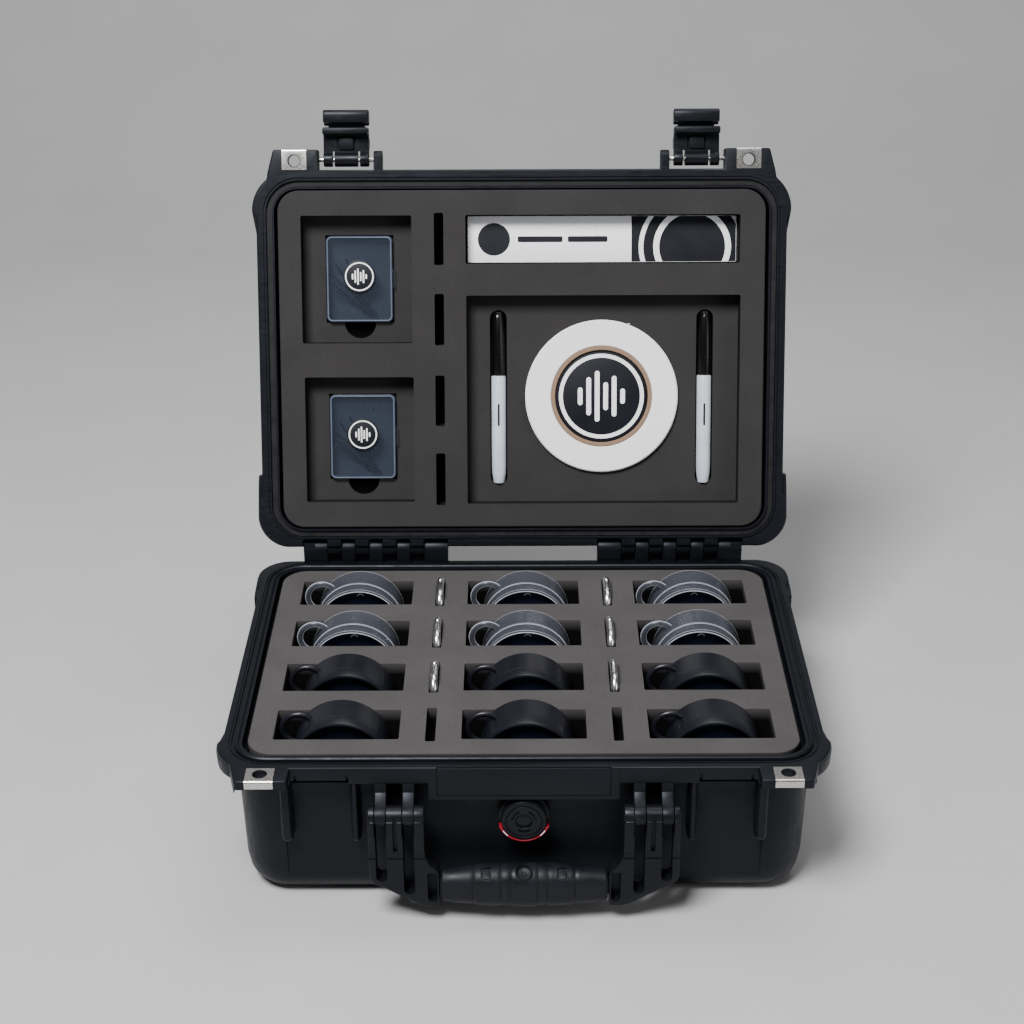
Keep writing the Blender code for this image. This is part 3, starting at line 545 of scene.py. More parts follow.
RIM_Z, SKIRT_Z, CATCH_Z, FLOOR_Z = 120.7, 108.0, 111.0, 19.0
LID_RIM_Z, LID_SKIRT_Z, LID_TOP_Z, LID_ROOF_Z = 121.3, 134.0, 174.0, 165.6
FLANGE, CORNER_X = (199.1, 142.8), 202.2
BODY_TOP, BODY_LOW = (190.3, 133.2), (188.4, 131.2)
CAVITY_RIM, CAVITY_LOW, CAVITY_FLOOR = (185.7, 128.8), (183.2, 126.9), (181.0, 123.5)
FRONT_PANEL_X, FRONT_PANEL_Y = 158.0, -130.2
PLATE_BLOCK_X, PLATE_BLOCK_LOW = 62.0, 96.2
KNUCKLE_R = 7.0
KNUCKLE_EDGES = (57.5, 76.0, 86.6, 97.2, 107.8, 118.4, 129.0, 139.6, 150.2, 169.0)
TAB_X, TAB_Y, TAB_HOLE = (151.7, 185.5), -157.8, (169.8, -149.5, 4.9)
PLATE_X = (160.6, 179.0)
RIBS_X, RIB_LOW_Z = ((107.4, 113.5), (151.8, 160.2)), 60.0
HANDLE_Y, HANDLE_Z = -151.5, 89.7
LUGS_X = ((71.3, 79.0), (89.3, 97.0))
NAME_HALF, NAME_LOW = 56.3, 99.4
VALVE_Z, VALVE_R, VALVE_Y = 79.0, 14.9, (-143.5, -137.5)
EAR_X = (104.0, 110.5)
LATCH_X, LATCH_HALF, LATCH_Y, LATCH_Z = 131.0, 17.0, -150.5, 128.0
RIM_RADIUS = 18.0          # corner radius of the cavity at the rim
GAP = 0.3                  # clearance between pieces that rest on each other
PIN_R, BORE_R = 1.7, 2.1   # hinge and latch pins and their bores
HANDLE_PIN_R, HANDLE_BORE_R = 2.0, 2.4


def rim_ring(out_low, out_high, z0, z1, edge=0.0):
    """A ring that runs round the rim, given by its distances outside the cavity's edge."""
    hx, hy = CAVITY_RIM
    return frame_ring((hx + out_low, hx + out_high, hy + out_low, hy + out_high), z0, z1,
                      RIM_RADIUS + out_low, edge)


def flange_outline():
    fx, fy = FLANGE
    right = [(TAB_X[0], -fy), (TAB_X[0], TAB_Y), (TAB_X[1], TAB_Y), (190.0, -141.0)]
    right += arc(172.2, -112.5, 30.0, -52, 0, 10)
    right += [(fx, -106.0), (fx, 103.0), (CORNER_X, 107.0)]
    right += arc(178.2, 118.8, 24.0, 0, 90, 12)
    left = [(-x, y) for x, y in reversed(right)]
    return soften(right, 1.6, 2, closed=False) + soften(left, 1.6, 2, closed=False)


def knuckle_spans(odd):
    spans = list(zip(KNUCKLE_EDGES, KNUCKLE_EDGES[1:]))
    chosen = spans[0::2] if odd else spans[1::2]
    return [(a + 0.2, b - 0.2) for pair in chosen for _, a, b in both_sides(pair)]


def hinge_bore():
    return [rod("X", HINGE_Y, HINGE_Z, BORE_R, low, high, 20) for low, high in ((-175, -50), (50, 175))]


def padlock_cuts(z_low, z_high, plate_low, plate_high):
    hole_x, hole_y, hole_r = TAB_HOLE
    cuts = []
    for sign, low, high in both_sides(PLATE_X):
        a, b = low - GAP, high + GAP
        cuts.append(box(a, b, TAB_Y - 5, TAB_Y + 1.1, z_low - 2, z_high + 2))
        cuts.append(box(a, b, TAB_Y - 5, -142.3, plate_high, z_high + 2))
        cuts.append(box(a, b, TAB_Y - 5, -142.3, z_low - 2, plate_low))
        cuts.append(rod("Z", sign * hole_x, hole_y, hole_r, z_low - 2, z_high + 2, 32))
    return cuts


def flange_notches(z0, z1):
    """Small moulding notches in the flange's front edge, beside the latch bays."""
    return [box(sign * x - 0.9, sign * x + 0.9, -150.0, -140.6, z0, z1)
            for sign in (1, -1) for x in (114.5, 148.0)]


def rib(low, high):
    """An upright rib with a rounded lower end, narrower in front than at its root."""
    rows = []
    for y, inset in ((-127.5, 0.0), (-136.5, 0.0), (-140.6, 1.1), (-141.5, 2.0)):
        radius = (high - low) / 2 - inset
        outline = [(high - inset, CATCH_Z), (low + inset, CATCH_Z)]
        outline += arc((low + high) / 2, RIB_LOW_Z + radius + 1.6 * inset, radius, 180, 360, 12)
        rows.append(lift(outline, y, "Y"))
    return loft(rows)


def base_shell():
    rings = ((0.0, 166.0, 109.0, 12), (0.8, 171.5, 114.5, 15), (2.0, 176.0, 119.0, 18),
             (4.0, 180.2, 123.2, 21.5),
             (7.0, 183.0, 126.0, 24), (10.0, 185.2, 128.1, 25.8), (14.0, 186.8, 129.7, 27),
             (24.0, *BODY_LOW, 28),
             (SKIRT_Z + 1 - BASE_Z, *BODY_TOP, 28))
    body = loft([lift(rounded_rect(hx, hy, r, 10), BASE_Z + z) for z, hx, hy, r in rings])
    flange = prism(flange_outline(), SKIRT_Z, RIM_Z, edge=1.1)
    block = box(-PLATE_BLOCK_X, PLATE_BLOCK_X, -143.2, -125.0, PLATE_BLOCK_LOW, RIM_Z - 0.6)
    panel = box(-FRONT_PANEL_X, FRONT_PANEL_X, -140.0, FRONT_PANEL_Y, -5.0, PLATE_BLOCK_LOW)
    bays = [box(low, high, -150.0, FRONT_PANEL_Y, SKIRT_Z - 5, CATCH_Z)
            for _, low, high in both_sides((RIBS_X[0][1], RIBS_X[1][0]))]
    shell = combined([body, flange, block], [panel, *bays])

    ribs = []
    for pair in RIBS_X:
        for _, low, high in both_sides(pair):
            ribs.append(rib(low, high))
    lug = [(-127.5, SKIRT_Z + 2), (-142.5, SKIRT_Z + 2), (-143.0, HANDLE_Z + 12), (-149.0, HANDLE_Z + 7)]
    lug += arc(HANDLE_Y, HANDLE_Z, 6.6, 100, 290, 20) + [(-127.5, HANDLE_Z - 16)]
    lugs = [prism(lug, low, high, "X", edge=0.6) for pair in LUGS_X for _, low, high in both_sides(pair)]
    front, back = HINGE_Y - KNUCKLE_R, HINGE_Y + KNUCKLE_R
    knuckle = arc(HINGE_Y, HINGE_Z, KNUCKLE_R, -15, 180, 16)
    knuckle += [(front, SKIRT_Z + 6), (FLANGE[1] - 1, SKIRT_Z + 2), (back - 3.5, SKIRT_Z + 10)]
    knuckles = [prism(knuckle, low, high, "X", edge=0.5) for low, high in knuckle_spans(True)]
    web_ends = (KNUCKLE_EDGES[0] + 1, KNUCKLE_EDGES[-1] - 1)
    webs = [box(low, high, FLANGE[1] + 0.6, HINGE_Y + 4.8, SKIRT_Z + 4, HINGE_Z - KNUCKLE_R - 0.6)
            for _, low, high in both_sides(web_ends)]

    cavity = ((FLOOR_Z, *CAVITY_FLOOR, 16), (RIM_Z - 9.5, *CAVITY_LOW, 17),
              (RIM_Z - 8.5, *CAVITY_RIM, RIM_RADIUS),
              (RIM_Z + 6, *CAVITY_RIM, RIM_RADIUS))
    cuts = [loft([lift(rounded_rect(hx, hy, r, 10), z) for z, hx, hy, r in cavity])]
    cuts += (hinge_bore() + padlock_cuts(SKIRT_Z, RIM_Z, 115.5, 119.8)
             + flange_notches(SKIRT_Z - 5, CATCH_Z + 4))
    cuts += [box(low - 1, high + 5, TAB_Y - 5, -143.4, SKIRT_Z - 5, 114.2)
             for _, low, high in both_sides(TAB_X)]
    cuts += [rod("X", HANDLE_Y, HANDLE_Z, HANDLE_BORE_R, low, high, 20)
             for low, high in ((60, 105), (-105, -60))]
    seat = NAME_HALF + GAP
    cuts += [box(-seat, seat, -150.0, -142.0, NAME_LOW - GAP, RIM_Z + 5),
             rod("Y", 0, VALVE_Z, 7.0, -140.0, -120.0)]
    cuts += [rim_ring(5.2, 7.4, RIM_Z - 1.5, RIM_Z + 3), rim_ring(8.4, 9.2, RIM_Z - 0.9, RIM_Z + 3)]
    result = combined([shell, *ribs, *lugs, *knuckles, *webs], cuts)
    piece("case_base_shell", result, CASE_BLACK, "case", ["case_base"])
    piece("base_rim_tongue", rim_ring(2.3, 4.9, RIM_Z - 1.5, RIM_Z + 1.5, 0.8), CASE_BLACK, "case")


def guard_band(sign_x, sign_y, z0, z1, name, in_lid, body):
    """A raised lip that wraps a corner of the flange."""
    if sign_y > 0:
        path = ([(CORNER_X - 0.4, 88.0), (CORNER_X + 0.2, 98.0)]
                + arc(178.2, 118.8, 24.5, 0, 90, 14) + [(160.0, 143.3)])
    else:
        path = [(FLANGE[0] - 0.4, -86.0), (FLANGE[0] + 0.3, -96.0)] + arc(171.4, -111.5, 30.7, 0, -50, 14)
    rows = []
    for z, out, inset in ((z0, -1.0, 3.0), (z0 + 1.2, 0.4, 3.0), (z1 - 1.2, 0.7, 3.0), (z1, -0.2, 3.0)):
        outer, inner = [], []
        for i, (x, y) in enumerate(path):
            along = Vector(path[min(i + 1, len(path) - 1)]) - Vector(path[max(i - 1, 0)])
            side = Vector((along.y, -along.x)).normalized() * (1 if sign_y > 0 else -1)
            fade = min(1.0, i / 3, (len(path) - 1 - i) / 3)
            outer.append((x + side.x * out * fade, y + side.y * out * fade))
            inner.append((x - side.x * inset, y - side.y * inset))
        ring = [(sign_x * a, b, z) for a, b in outer + inner[::-1]]
        rows.append([Vector(p) for p in ring])
    piece(name, loft(rows), CASE_BLACK, body, in_lid=in_lid)


def corner_guards():
    for sx, side in ((1, "right"), (-1, "left")):
        for sy, end in ((1, "back"), (-1, "front")):
            guard_band(sx, sy, SKIRT_Z + 0.6, RIM_Z - 2.4, f"base_guard_{end}_{side}", False, "case")
            guard_band(sx, sy, LID_RIM_Z + 2.4, LID_SKIRT_Z - 0.6, f"lid_guard_{end}_{side}", True, "lid")


def lid_shell():
    rings = ((LID_SKIRT_Z - 1, *BODY_TOP, 28), (160.0, 189.2, 132.1, 28), (168.0, 187.2, 130.1, 27),
             (170.6, 185.7, 128.6, 25.8), (172.2, 183.6, 126.5, 24), (173.4, 181.0, 124.0, 21.5),
             (LID_TOP_Z, 178.0, 121.0, 18))
    adds = [prism(flange_outline(), LID_RIM_Z, LID_SKIRT_Z, edge=1.1)]
    adds.append(loft([lift(rounded_rect(hx, hy, r, 10), z) for z, hx, hy, r in rings]))
    cavity = ((LID_RIM_Z - 5, *CAVITY_RIM, RIM_RADIUS), (LID_SKIRT_Z, *CAVITY_RIM, RIM_RADIUS),
              (LID_ROOF_Z, 183.5, 126.5, 17))
    cuts = [loft([lift(rounded_rect(hx, hy, r, 10), z) for z, hx, hy, r in cavity])]
    cuts += [rim_ring(1.5, 6.2, LID_RIM_Z - 3, 126.0), rim_ring(7.6, 8.4, LID_RIM_Z - 3, LID_RIM_Z + 0.9)]
    cuts.append(prism(rounded_rect(150.0, 95.0, 14.0), LID_TOP_Z - 2, LID_TOP_Z + 5))
    for low, high in knuckle_spans(True):
        cuts.append(box(low - 0.4, high + 0.4, HINGE_Y - KNUCKLE_R - 0.5, 160.0, LID_RIM_Z - 5,
                        LID_SKIRT_Z + 5))
    body = combined(adds, cuts)

    knuckle = arc(HINGE_Y, HINGE_Z, KNUCKLE_R, -90, 90, 14)
    inner = HINGE_Y - KNUCKLE_R - 2
    knuckle += [(inner, HINGE_Z + KNUCKLE_R), (inner, HINGE_Z - KNUCKLE_R)]
    knuckles = [prism(knuckle, low, high, "X", edge=0.5) for low, high in knuckle_spans(False)]
    ear = ([(-140.0, LID_RIM_Z), (-153.0, LID_RIM_Z)]
           + arc(-150.6, 127.6, 6.3, 250, 110, 14) + [(-140.0, LID_SKIRT_Z)])
    ears = [prism(ear, low, high, "X", edge=0.5) for _, low, high in both_sides(EAR_X)]
    cuts = hinge_bore() + padlock_cuts(LID_RIM_Z, LID_SKIRT_Z, 122.2, 126.5)
    cuts += [box(low, high, TAB_Y - 5, -143.4, 127.8, LID_SKIRT_Z + 5)
             for _, low, high in both_sides((TAB_X[0] + 6.5, TAB_X[1] + 5))]
    cuts += [rod("X", LATCH_Y, LATCH_Z, BORE_R, low, high, 20) for low, high in ((100, 157), (-157, -100))]
    result = combined([body, *knuckles, *ears], cuts)
    lid_piece("case_lid_shell", result, CASE_BLACK, "lid", ["case_lid"])
    lid_piece("lid_gasket_cord", rim_ring(1.8, 5.9, 123.6, 125.7, 0.7), SEAL, "lid", ["lid_gasket"])


def hinge_pins():
    for sign, side in ((1, "right"), (-1, "left")):
        low, high = sorted((sign * 58.3, sign * 168.2))
        pin = rod("X", HINGE_Y, HINGE_Z, PIN_R, low, high, 24, edge=0.4)
        body = NODE_BODY[f"hinge_pin_{side}"]
        piece(f"hinge_rod_{side}", pin, STEEL, body, [f"hinge_pin_{side}"])


# ---------------------------------------------------------------- padlock plates, latches

def padlock_plate(side, sign, in_lid):
    low_z, high_z = (121.1, 127.6) if in_lid else (114.4, 120.9)
    low, high = PLATE_X if sign > 0 else (-PLATE_X[1], -PLATE_X[0])
    front, t = TAB_Y - 0.5, 0.8
    outer = arc(front + 1.5, high_z - 1.5, 1.5, 90, 180, 5) + arc(front + 1.5, low_z + 1.5, 1.5, 180, 270, 5)
    inner = (arc(front + 1.5, low_z + 1.5, 1.5 - t, 270, 180, 5)
             + arc(front + 1.5, high_z - 1.5, 1.5 - t, 180, 90, 5))
    outline = [(-142.8, high_z), *outer, (-144.3, low_z), (-144.3, low_z + t), *inner, (-142.8, high_z - t)]
    if in_lid:
        outline = [(y, low_z + high_z - z) for y, z in outline]
    x, y, r = sign * TAB_HOLE[0], TAB_HOLE[1], TAB_HOLE[2]
    hole = rod("Z", x, y, r, low_z - 5, high_z + 5, 40)
    place = "lid" if in_lid else "base"
    node = f"padlock_plate_{place}_{side}"
    body = NODE_BODY[node]
    plate = combined([prism(outline, low, high, "X")], [hole])
    piece(f"padlock_strip_{place}_{side}", plate, STEEL, body, [node], in_lid=in_lid)
    rolled = washer(low_z + GAP, high_z - GAP, r - 0.5, r + 0.6, "Z", x, y)
    piece(f"padlock_sleeve_{place}_{side}", rolled, CASE_BLACK, body, in_lid=in_lid)


def padlock_plates():
    for sign, side in ((-1, "left"), (1, "right")):
        padlock_plate(side, sign, False)
        padlock_plate(side, sign, True)


def latch(side, sign):
    """A double-throw latch: a hook on the lid's pin and a lever with a curled finger lip on it."""
    x = sign * LATCH_X
    low, high = x - LATCH_HALF, x + LATCH_HALF
    y, z = LATCH_Y, LATCH_Z
    plate = [(y + 3, z + 3), (y - 23, z + 3), (y - 23, z - 10.5), (y - 18.4, z - 10.5), (y - 18.4, z - 2),
             (y + 3, z - 2)]
    cheek = [(y - 7, z + 1), (y - 7, z + 6.8)] + arc(y - 12, z + 6.8, 3.6, 60, 150, 8) + [(y - 17, z + 1)]
    adds = [prism(soften(plate, 1.2), low, high, "X", edge=0.7), rod("X", y, z, 5.4, low, high, 32, edge=0.6)]
    adds += [prism(cheek, low, low + 3, "X", edge=0.4), prism(cheek, high - 3, high, "X", edge=0.4)]
    cuts = [rod("X", y, z, BORE_R, low - 5, high + 5, 20), box(x - 7, x + 7, y - 17, y - 6.5, z - 8, z - 0.5)]
    cuts += [box(x + a - 0.8, x + a + 0.8, y - 6, y + 6, z - 8, z + 8) for a in (-9.5, 9.5)]
    hook = f"latch_hook_{side}"
    hook_body = NODE_BODY[hook]
    lid_piece(f"latch_catch_{side}", combined(adds, cuts), LATCH_BLACK, hook_body, [hook])
    tab = prism(soften(rectangle(x - 5.6, x + 5.6, y - 16.2, y - 7.2), 1.2), z - 3.2, z - 1.2, edge=0.6)
    lid_piece(f"latch_tongue_{side}", tab, LATCH_BLACK, hook_body)
    bar = rod("X", y - 20.6, z - 7.4, 2.9, low + 0.3, high - 0.3, 24, edge=0.8)
    lid_piece(f"latch_hook_bar_{side}", bar, LATCH_BLACK, hook_body)

    pivot_y, pivot_z = y - 12, z + 6.8
    neck = arc(pivot_y, pivot_z, 3.2, -90, 90, 12) + [(y - 28, z + 8), (y - 28, z + 3.6)]
    lip = [(y - 25, z + 3.6), (y - 25, z + 8)] + arc(y - 31, z + 3.2, 5.5, 60, 180, 12)
    lip += [(y - 36.5, z - 2.5), (y - 34, z - 4), (y - 27, z - 4), (y - 27, z + 3.6)]
    adds = [prism(neck, x - 13.6, x + 13.6, "X", edge=0.5),
            prism(soften(lip, 0.9, 2), low, high, "X", edge=0.9)]
    cuts = [box(x - 8, x + 8, y - 24.5, y - 15.8, z + 6.9, z + 12)]
    lever = f"latch_lever_{side}"
    lever_body = NODE_BODY[lever]
    lid_piece(f"latch_flap_{side}", combined(adds, cuts), LATCH_BLACK, lever_body, [lever])
    for a in (-1, 1):
        grip = rod("X", y - 33.4, z + 6.9 - a * 1.2, 0.55, low + 3, high - 3, 12, edge=0.3)
        lid_piece(f"latch_grip_line_{'upper' if a > 0 else 'lower'}_{side}", grip, LATCH_BLACK, lever_body)
    low, high = (104.2, 157.0) if sign > 0 else (-157.0, -104.2)
    pin = rod("X", y, z, PIN_R, low, high, 24, edge=0.4)
    node = f"latch_pin_{side}"
    lid_piece(f"latch_rod_{side}", pin, STEEL, NODE_BODY[node], [node])


# ---------------------------------------------------------------- handle, name plate, valve

ARM_X, ARM_Y, HANDLE_LOW_Z = (64.7, 101.3), (-159.5, -146.5), 22.5
GRIP_HALF_X = 55.0


def arm_slot(x, half, low_z, high_z, y0, y1):
    outline = [(x + half, high_z), (x - half, high_z)] + arc(x, low_z + half, half, 180, 360, 10)
    return prism(outline, y0, y1, "Y")


def handle_frame():
    y, z = HANDLE_Y, HANDLE_Z
    profile = [(ARM_X[0], z), (ARM_X[0], 62.0), (61.0, 54.5), (55.6, 49.5), (55.6, HANDLE_LOW_Z),
               (64.0, HANDLE_LOW_Z), (69.5, 24.2), (98.5, 41.3), (ARM_X[1], 45.0), (ARM_X[1], z)]
    profile = soften(profile, 2.2, 3)
    adds, cuts = [box(-60.0, 60.0, y - 5.0, y + 2.5, 30.5, 42.5)], []
    for sign in (1, -1):
        adds.append(prism([(sign * a, b) for a, b in profile], *ARM_Y, "Y", edge=1.0))
        low, high = sorted((sign * ARM_X[0], sign * ARM_X[1]))
        adds.append(rod("X", y, z, 7.0, low, high, 36, edge=0.8))
        cuts.append(rod("X", y, z, HANDLE_BORE_R, low - 5, high + 5, 20))
        for (a, b), floor in zip(LUGS_X, (32.7, 42.8)):
            c, d = sorted((sign * (a - GAP), sign * (b + GAP)))
            cuts.append(box(c, d, y - 20, y + 20, z - 12, z + 20))
            cuts.append(arm_slot((c + d) / 2, 3.6, floor, z - 5, -170.0, -140.0))
        cuts.append(arm_slot(sign * 60.1, 3.2, 26.4, 49.5, -170.0, -152.5))
        cuts.append(arm_slot(sign * 83.7, 1.5, 66.0, 92.0, -170.0, -156.5))
        cuts.append(box(*sorted((sign * 60, sign * 104)), -165, -158.6, 60.4, 66.2))
    piece("handle_arms", combined(adds, cuts), LATCH_BLACK, "handle", ["handle_frame"])
    for sign, side in ((1, "right"), (-1, "left")):
        low, high = sorted((sign * 65.0, sign * 101.0))
        pin = rod("X", y, z, HANDLE_PIN_R, low, high, 24, edge=0.4)
        node = f"handle_pin_{side}"
        piece(f"handle_rod_{side}", pin, STEEL, NODE_BODY[node], [node])


GRIP_Y, GRIP_Z = HANDLE_Y - 1.2, 35.6
GRIP_PADS = (-25.0, 0.0, 25.0)


def grip_section(x):
    """Half sizes of the plain grip along Y and Z at a place along it."""
    crown = math.cos(math.pi * x / (2.6 * GRIP_HALF_X))
    return 6.5 + 3.8 * crown, 9.0 + 6.0 * crown


def tilted(bm, x, degrees=66.0):
    """A solid drawn looking along -Y at the grip's axis, tipped up to face the upper front."""
    centre = Vector((x, GRIP_Y, GRIP_Z))
    bmesh.ops.rotate(bm, verts=bm.verts, cent=centre, matrix=Matrix.Rotation(-math.radians(degrees), 3, "X"))
    return bm


def handle_grip():
    """The moulded grip: a swelling sleeve with three raised pads, two windows and a dimple."""
    rings, steps = [], 72
    for i in range(steps + 1):
        x = GRIP_HALF_X * (2 * i / steps - 1)
        half_y, half_z = grip_section(x)
        on_pad = min(abs(x - pad) for pad in GRIP_PADS) < 8.4
        step_edge = min(abs(abs(x - pad) - 9.2) for pad in GRIP_PADS) < 0.8
        swell = 0.5 if on_pad else -0.7 if step_edge else 0.0
        end = -1.5 if GRIP_HALF_X - abs(x) < 1.0 else 0.0
        half_y, half_z = half_y + swell + end, half_z + swell * 0.6 + end
        rings.append(lift(rounded_rect(half_y, half_z, min(half_y, half_z) - 0.4, 10, GRIP_Y, GRIP_Z), x,
                          "X"))
    cuts = [tilted(prism(rounded_rect(3.5, 4.2, 1.0, 4, x, GRIP_Z), GRIP_Y - 30, GRIP_Y - 12.3, "Y"), x)
            for x in (GRIP_PADS[0], GRIP_PADS[2])]
    cuts.append(tilted(rod("Y", 0, GRIP_Z, 5.9, GRIP_Y - 30, GRIP_Y - 13.0, 40), 0))
    piece("grip_sleeve", combined([loft(rings)], cuts), GRIP, "handle", ["handle_grip"])
    dish = turned([(GRIP_Y - 10.5, 5.2), (GRIP_Y - 14.2, 5.2), (GRIP_Y - 14.6, 4.7), (GRIP_Y - 13.8, 4.1),
                   (GRIP_Y - 13.4, 1.5),
                   (GRIP_Y - 13.9, 1.0), (GRIP_Y - 14.0, 0.0)], "Y", 0, GRIP_Z)
    piece("grip_button", tilted(dish, 0), GRIP, "handle")
    for x, side in ((GRIP_PADS[0], "left"), (GRIP_PADS[2], "right")):
        plug = prism(rounded_rect(2.7, 3.4, 0.8, 4, x, GRIP_Z), GRIP_Y - 13.0, GRIP_Y - 10.0, "Y", edge=0.4)
        piece(f"grip_window_{side}", tilted(plug, x), GRIP, "handle")


def name_plate():
    half, low, high = NAME_HALF, NAME_LOW, RIM_Z - 0.4
    plate = prism(rounded_rect(half, (high - low) / 2, 1.0, 4, 0, (low + high) / 2), -143.3, -142.3, "Y",
                  edge=0.25)
    piece("name_badge", plate, CASE_BLACK, "case", ["name_plate"])


def valve():
    """The pressure valve: a ribbed knob on a collar, over a red crescent."""
    front, collar = VALVE_Y
    profile = ((-127.4, 6.5), (-130.6, 6.5), (-130.6, 16.9), (collar + 0.5, 16.9), (collar, 16.4),
               (collar, VALVE_R),
               (front + 1.0, VALVE_R), (front + 0.3, VALVE_R - 0.4), (front, VALVE_R - 1.2), (front, 12.6),
               (front + 0.9, 12.2), (front + 0.9, 11.4), (front + 0.1, 11.0), (front + 0.1, 5.6),
               (front + 0.8, 5.2),
               (front + 0.2, 4.6), (front - 0.2, 3.0), (front - 0.4, 0.0))
    cuts = []
    for middle in (38, 142, 270):
        outline = (arc(0, VALVE_Z, 8.6, middle - 30, middle + 30, 12)
                   + arc(0, VALVE_Z, 7.2, middle + 30, middle - 30, 12))
        cuts.append(prism(outline, front - 3, front + 1.2, "Y"))
    knob = turned(profile, "Y", 0, VALVE_Z, 72)
    piece("valve_knob", combined([knob], cuts), LATCH_BLACK, "case", ["valve_body"])
    inner, outer = VALVE_R + GAP, VALVE_R + 2.4
    crescent = arc(0, VALVE_Z + 1.1, outer, 199, 341, 48) + arc(0, VALVE_Z, inner, 341, 199, 48)
    piece("valve_crescent", prism(crescent, front + 0.4, collar - GAP, "Y", edge=0.4), RED, "case",
          ["valve_seal"])
    # Two small white arcs along the crescent's inner edge.
    for middle, side in ((218, "left"), (322, "right")):
        mark = (arc(0, VALVE_Z, inner + 0.7, middle - 9, middle + 9, 10)
                + arc(0, VALVE_Z, inner + 0.2, middle + 9, middle - 9, 10))
        piece(f"valve_white_arc_{side}", prism(mark, front + 0.3, front + 0.9, "Y"), WHITE_PRINT, "case")


# ---------------------------------------------------------------- base foam and its contents

FOAM_TOP, FOAM_LOW = 120.9, 36.0
POD_COLUMNS, POD_ROWS = (-124.3, 0.3, 124.9), (90.5, 29.9, -30.7, -91.3)
POD_SLOT, POD_SLOT_FLOOR = (41.65, 18.0), 66.6
POD_R, POD_HALF_T, POD_Z, POD_SHIFT = 32.0, 16.0, 100.0, 2.0
RING_R, RING_TUBE, RING_PLACE = 11.0, 2.2, (-28.5, 3.0, 16.0)
CLIP_COLUMNS, CLIP_SLOT, CLIP_SLOT_FLOOR = (-61.9, 62.9), (3.4, 20.6), 103.0
CLIP_Z = 116.6


def base_foam():
    rings = ((FOAM_LOW, 180.8, 123.6, 17), (FOAM_TOP - 0.6, 182.2, 126.0, 18), (FOAM_TOP, 181.5, 125.3, 17.5))
    block = loft([lift(rounded_rect(hx, hy, r, 10), z) for z, hx, hy, r in rings])
    hx, hy = POD_SLOT
    cuts = [prism(rounded_rect(hx, hy, 1.2, 3, x, y), POD_SLOT_FLOOR, 130)
            for x in POD_COLUMNS for y in POD_ROWS]
    cx, cy = CLIP_SLOT
    cuts += [prism(rounded_rect(cx, cy, 1.2, 3, x, y), CLIP_SLOT_FLOOR, 130)
             for x in CLIP_COLUMNS for y in POD_ROWS]
    piece("foam_block", combined([block], cuts), BASE_FOAM, "case", ["base_foam"])
    pad = prism(rounded_rect(180.3, 122.8, 14, 10), FLOOR_Z + GAP, FOAM_LOW - GAP, edge=0.8)
    piece("foam_pad", pad, BASE_FOAM, "case", ["base_foam_pad"])


def turned_y(name, profile, x, y, material, body, replaces=(), steps=72, ring=False):
    make = turned_ring if ring else turned
    solid = make([(y + a, r) for a, r in profile], "Y", x, POD_Z, steps)
    return piece(name, solid, material, body, replaces)


def pod(node, x, y, clear):
    """A round pod on its edge: a cup, a screw cap with a recessed face and a carrying ring."""
    body = NODE_BODY[node]
    wall = CLEAR if clear else BLACK_POD
    t, r = POD_HALF_T, POD_R
    cup = ((-6.0, r - 1.9), (-6.0, r - 0.15), (-5.9, r), (t - 2.6, r), (t - 0.8, r - 1.2), (t, r - 3.0),
           (t, 0.0), (t - 1.8, 0.0), (t - 1.8, r - 4.0), (t - 3.4, r - 1.9))
    turned_y(f"{node}_cup", cup, x, y, wall, body, [node], ring=True)
    cap = ((-6.2, r - 1.9), (-6.2, r - 0.15), (-6.3, r), (-t + 1.2, r), (-t + 0.3, r - 0.4), (-t, r - 1.1),
           (-t, r - 1.8), (-t + 0.6, r - 2.1), (-t + 6.0, r - 2.1), (-t + 6.0, r - 1.9))
    turned_y(f"{node}_cap", cap, x, y, wall, body, ring=True)
    face = ((-t + 6.1, 0.0), (-t + 6.1, r - 2.2), (-t + 7.6, r - 2.2), (-t + 7.6, 0.0))
    turned_y(f"{node}_face", face, x, y, POD_FACE, body)
    middle = Vector((x, y, POD_Z)) + Vector(RING_PLACE)
    turns = [math.radians(46 + 214 * k / 40) for k in range(41)]
    spokes = [Vector((math.cos(a), 0, math.sin(a))) for a in turns]
    loop = tube([middle + RING_R * spoke for spoke in spokes], RING_TUBE, 18, closed=False)
    piece(f"{node}_ring", loop, wall, body)
    # Clear pods get painted highlights along their edges and ring.
    if clear:
        painted_highlights(node, x, y, middle, spokes, body)


def painted_highlights(node, x, y, middle, spokes, body):
    """Painted highlights: thin light grey lines standing for the light a clear pod's edges catch along their whole
    length, with an arc over the nub on its face and lines along both sides of its ring.
    """
    t, r = POD_HALF_T, POD_R
    edges = (("front", -t + 0.1, r - 1.6, 0.42), ("front_outer", -t + 1.0, r - 0.3, 0.22),
             ("seam", -6.3, r - 0.05, 0.30),
             ("thread", -4.9, r - 0.1, 0.18), ("back", t - 2.4, r - 0.1, 0.14))
    for name, place, radius, size in edges:
        section = circle(place, radius, size, 10)
        loop = turned_ring([(y + a, b) for a, b in section], "Y", x, POD_Z, 72)
        piece(f"{node}_edge_{name}", loop, CLEAR_HIGHLIGHT, body)
    # A painted highlight arching over the nub on the pod's face.
    arch = [Vector((a, y - t + 5.9, b)) for a, b in arc(x + 1.0, POD_Z + 23.0, 2.4, 15, 165, 16)]
    piece(f"{node}_nub", tube(arch, 0.25, 8, closed=False), CLEAR_HIGHLIGHT, body)
    # Painted highlights along the outer and inner sides of the ring.
    for name, shift, size in (("outer", RING_TUBE - 0.3, 0.42), ("inner", 0.4 - RING_TUBE, 0.3)):
        path = [middle + (RING_R + shift) * spoke + Vector((0, -0.8, 0)) for spoke in spokes]
        piece(f"{node}_ring_{name}", tube(path, size, 10, closed=False), CLEAR_HIGHLIGHT, body)


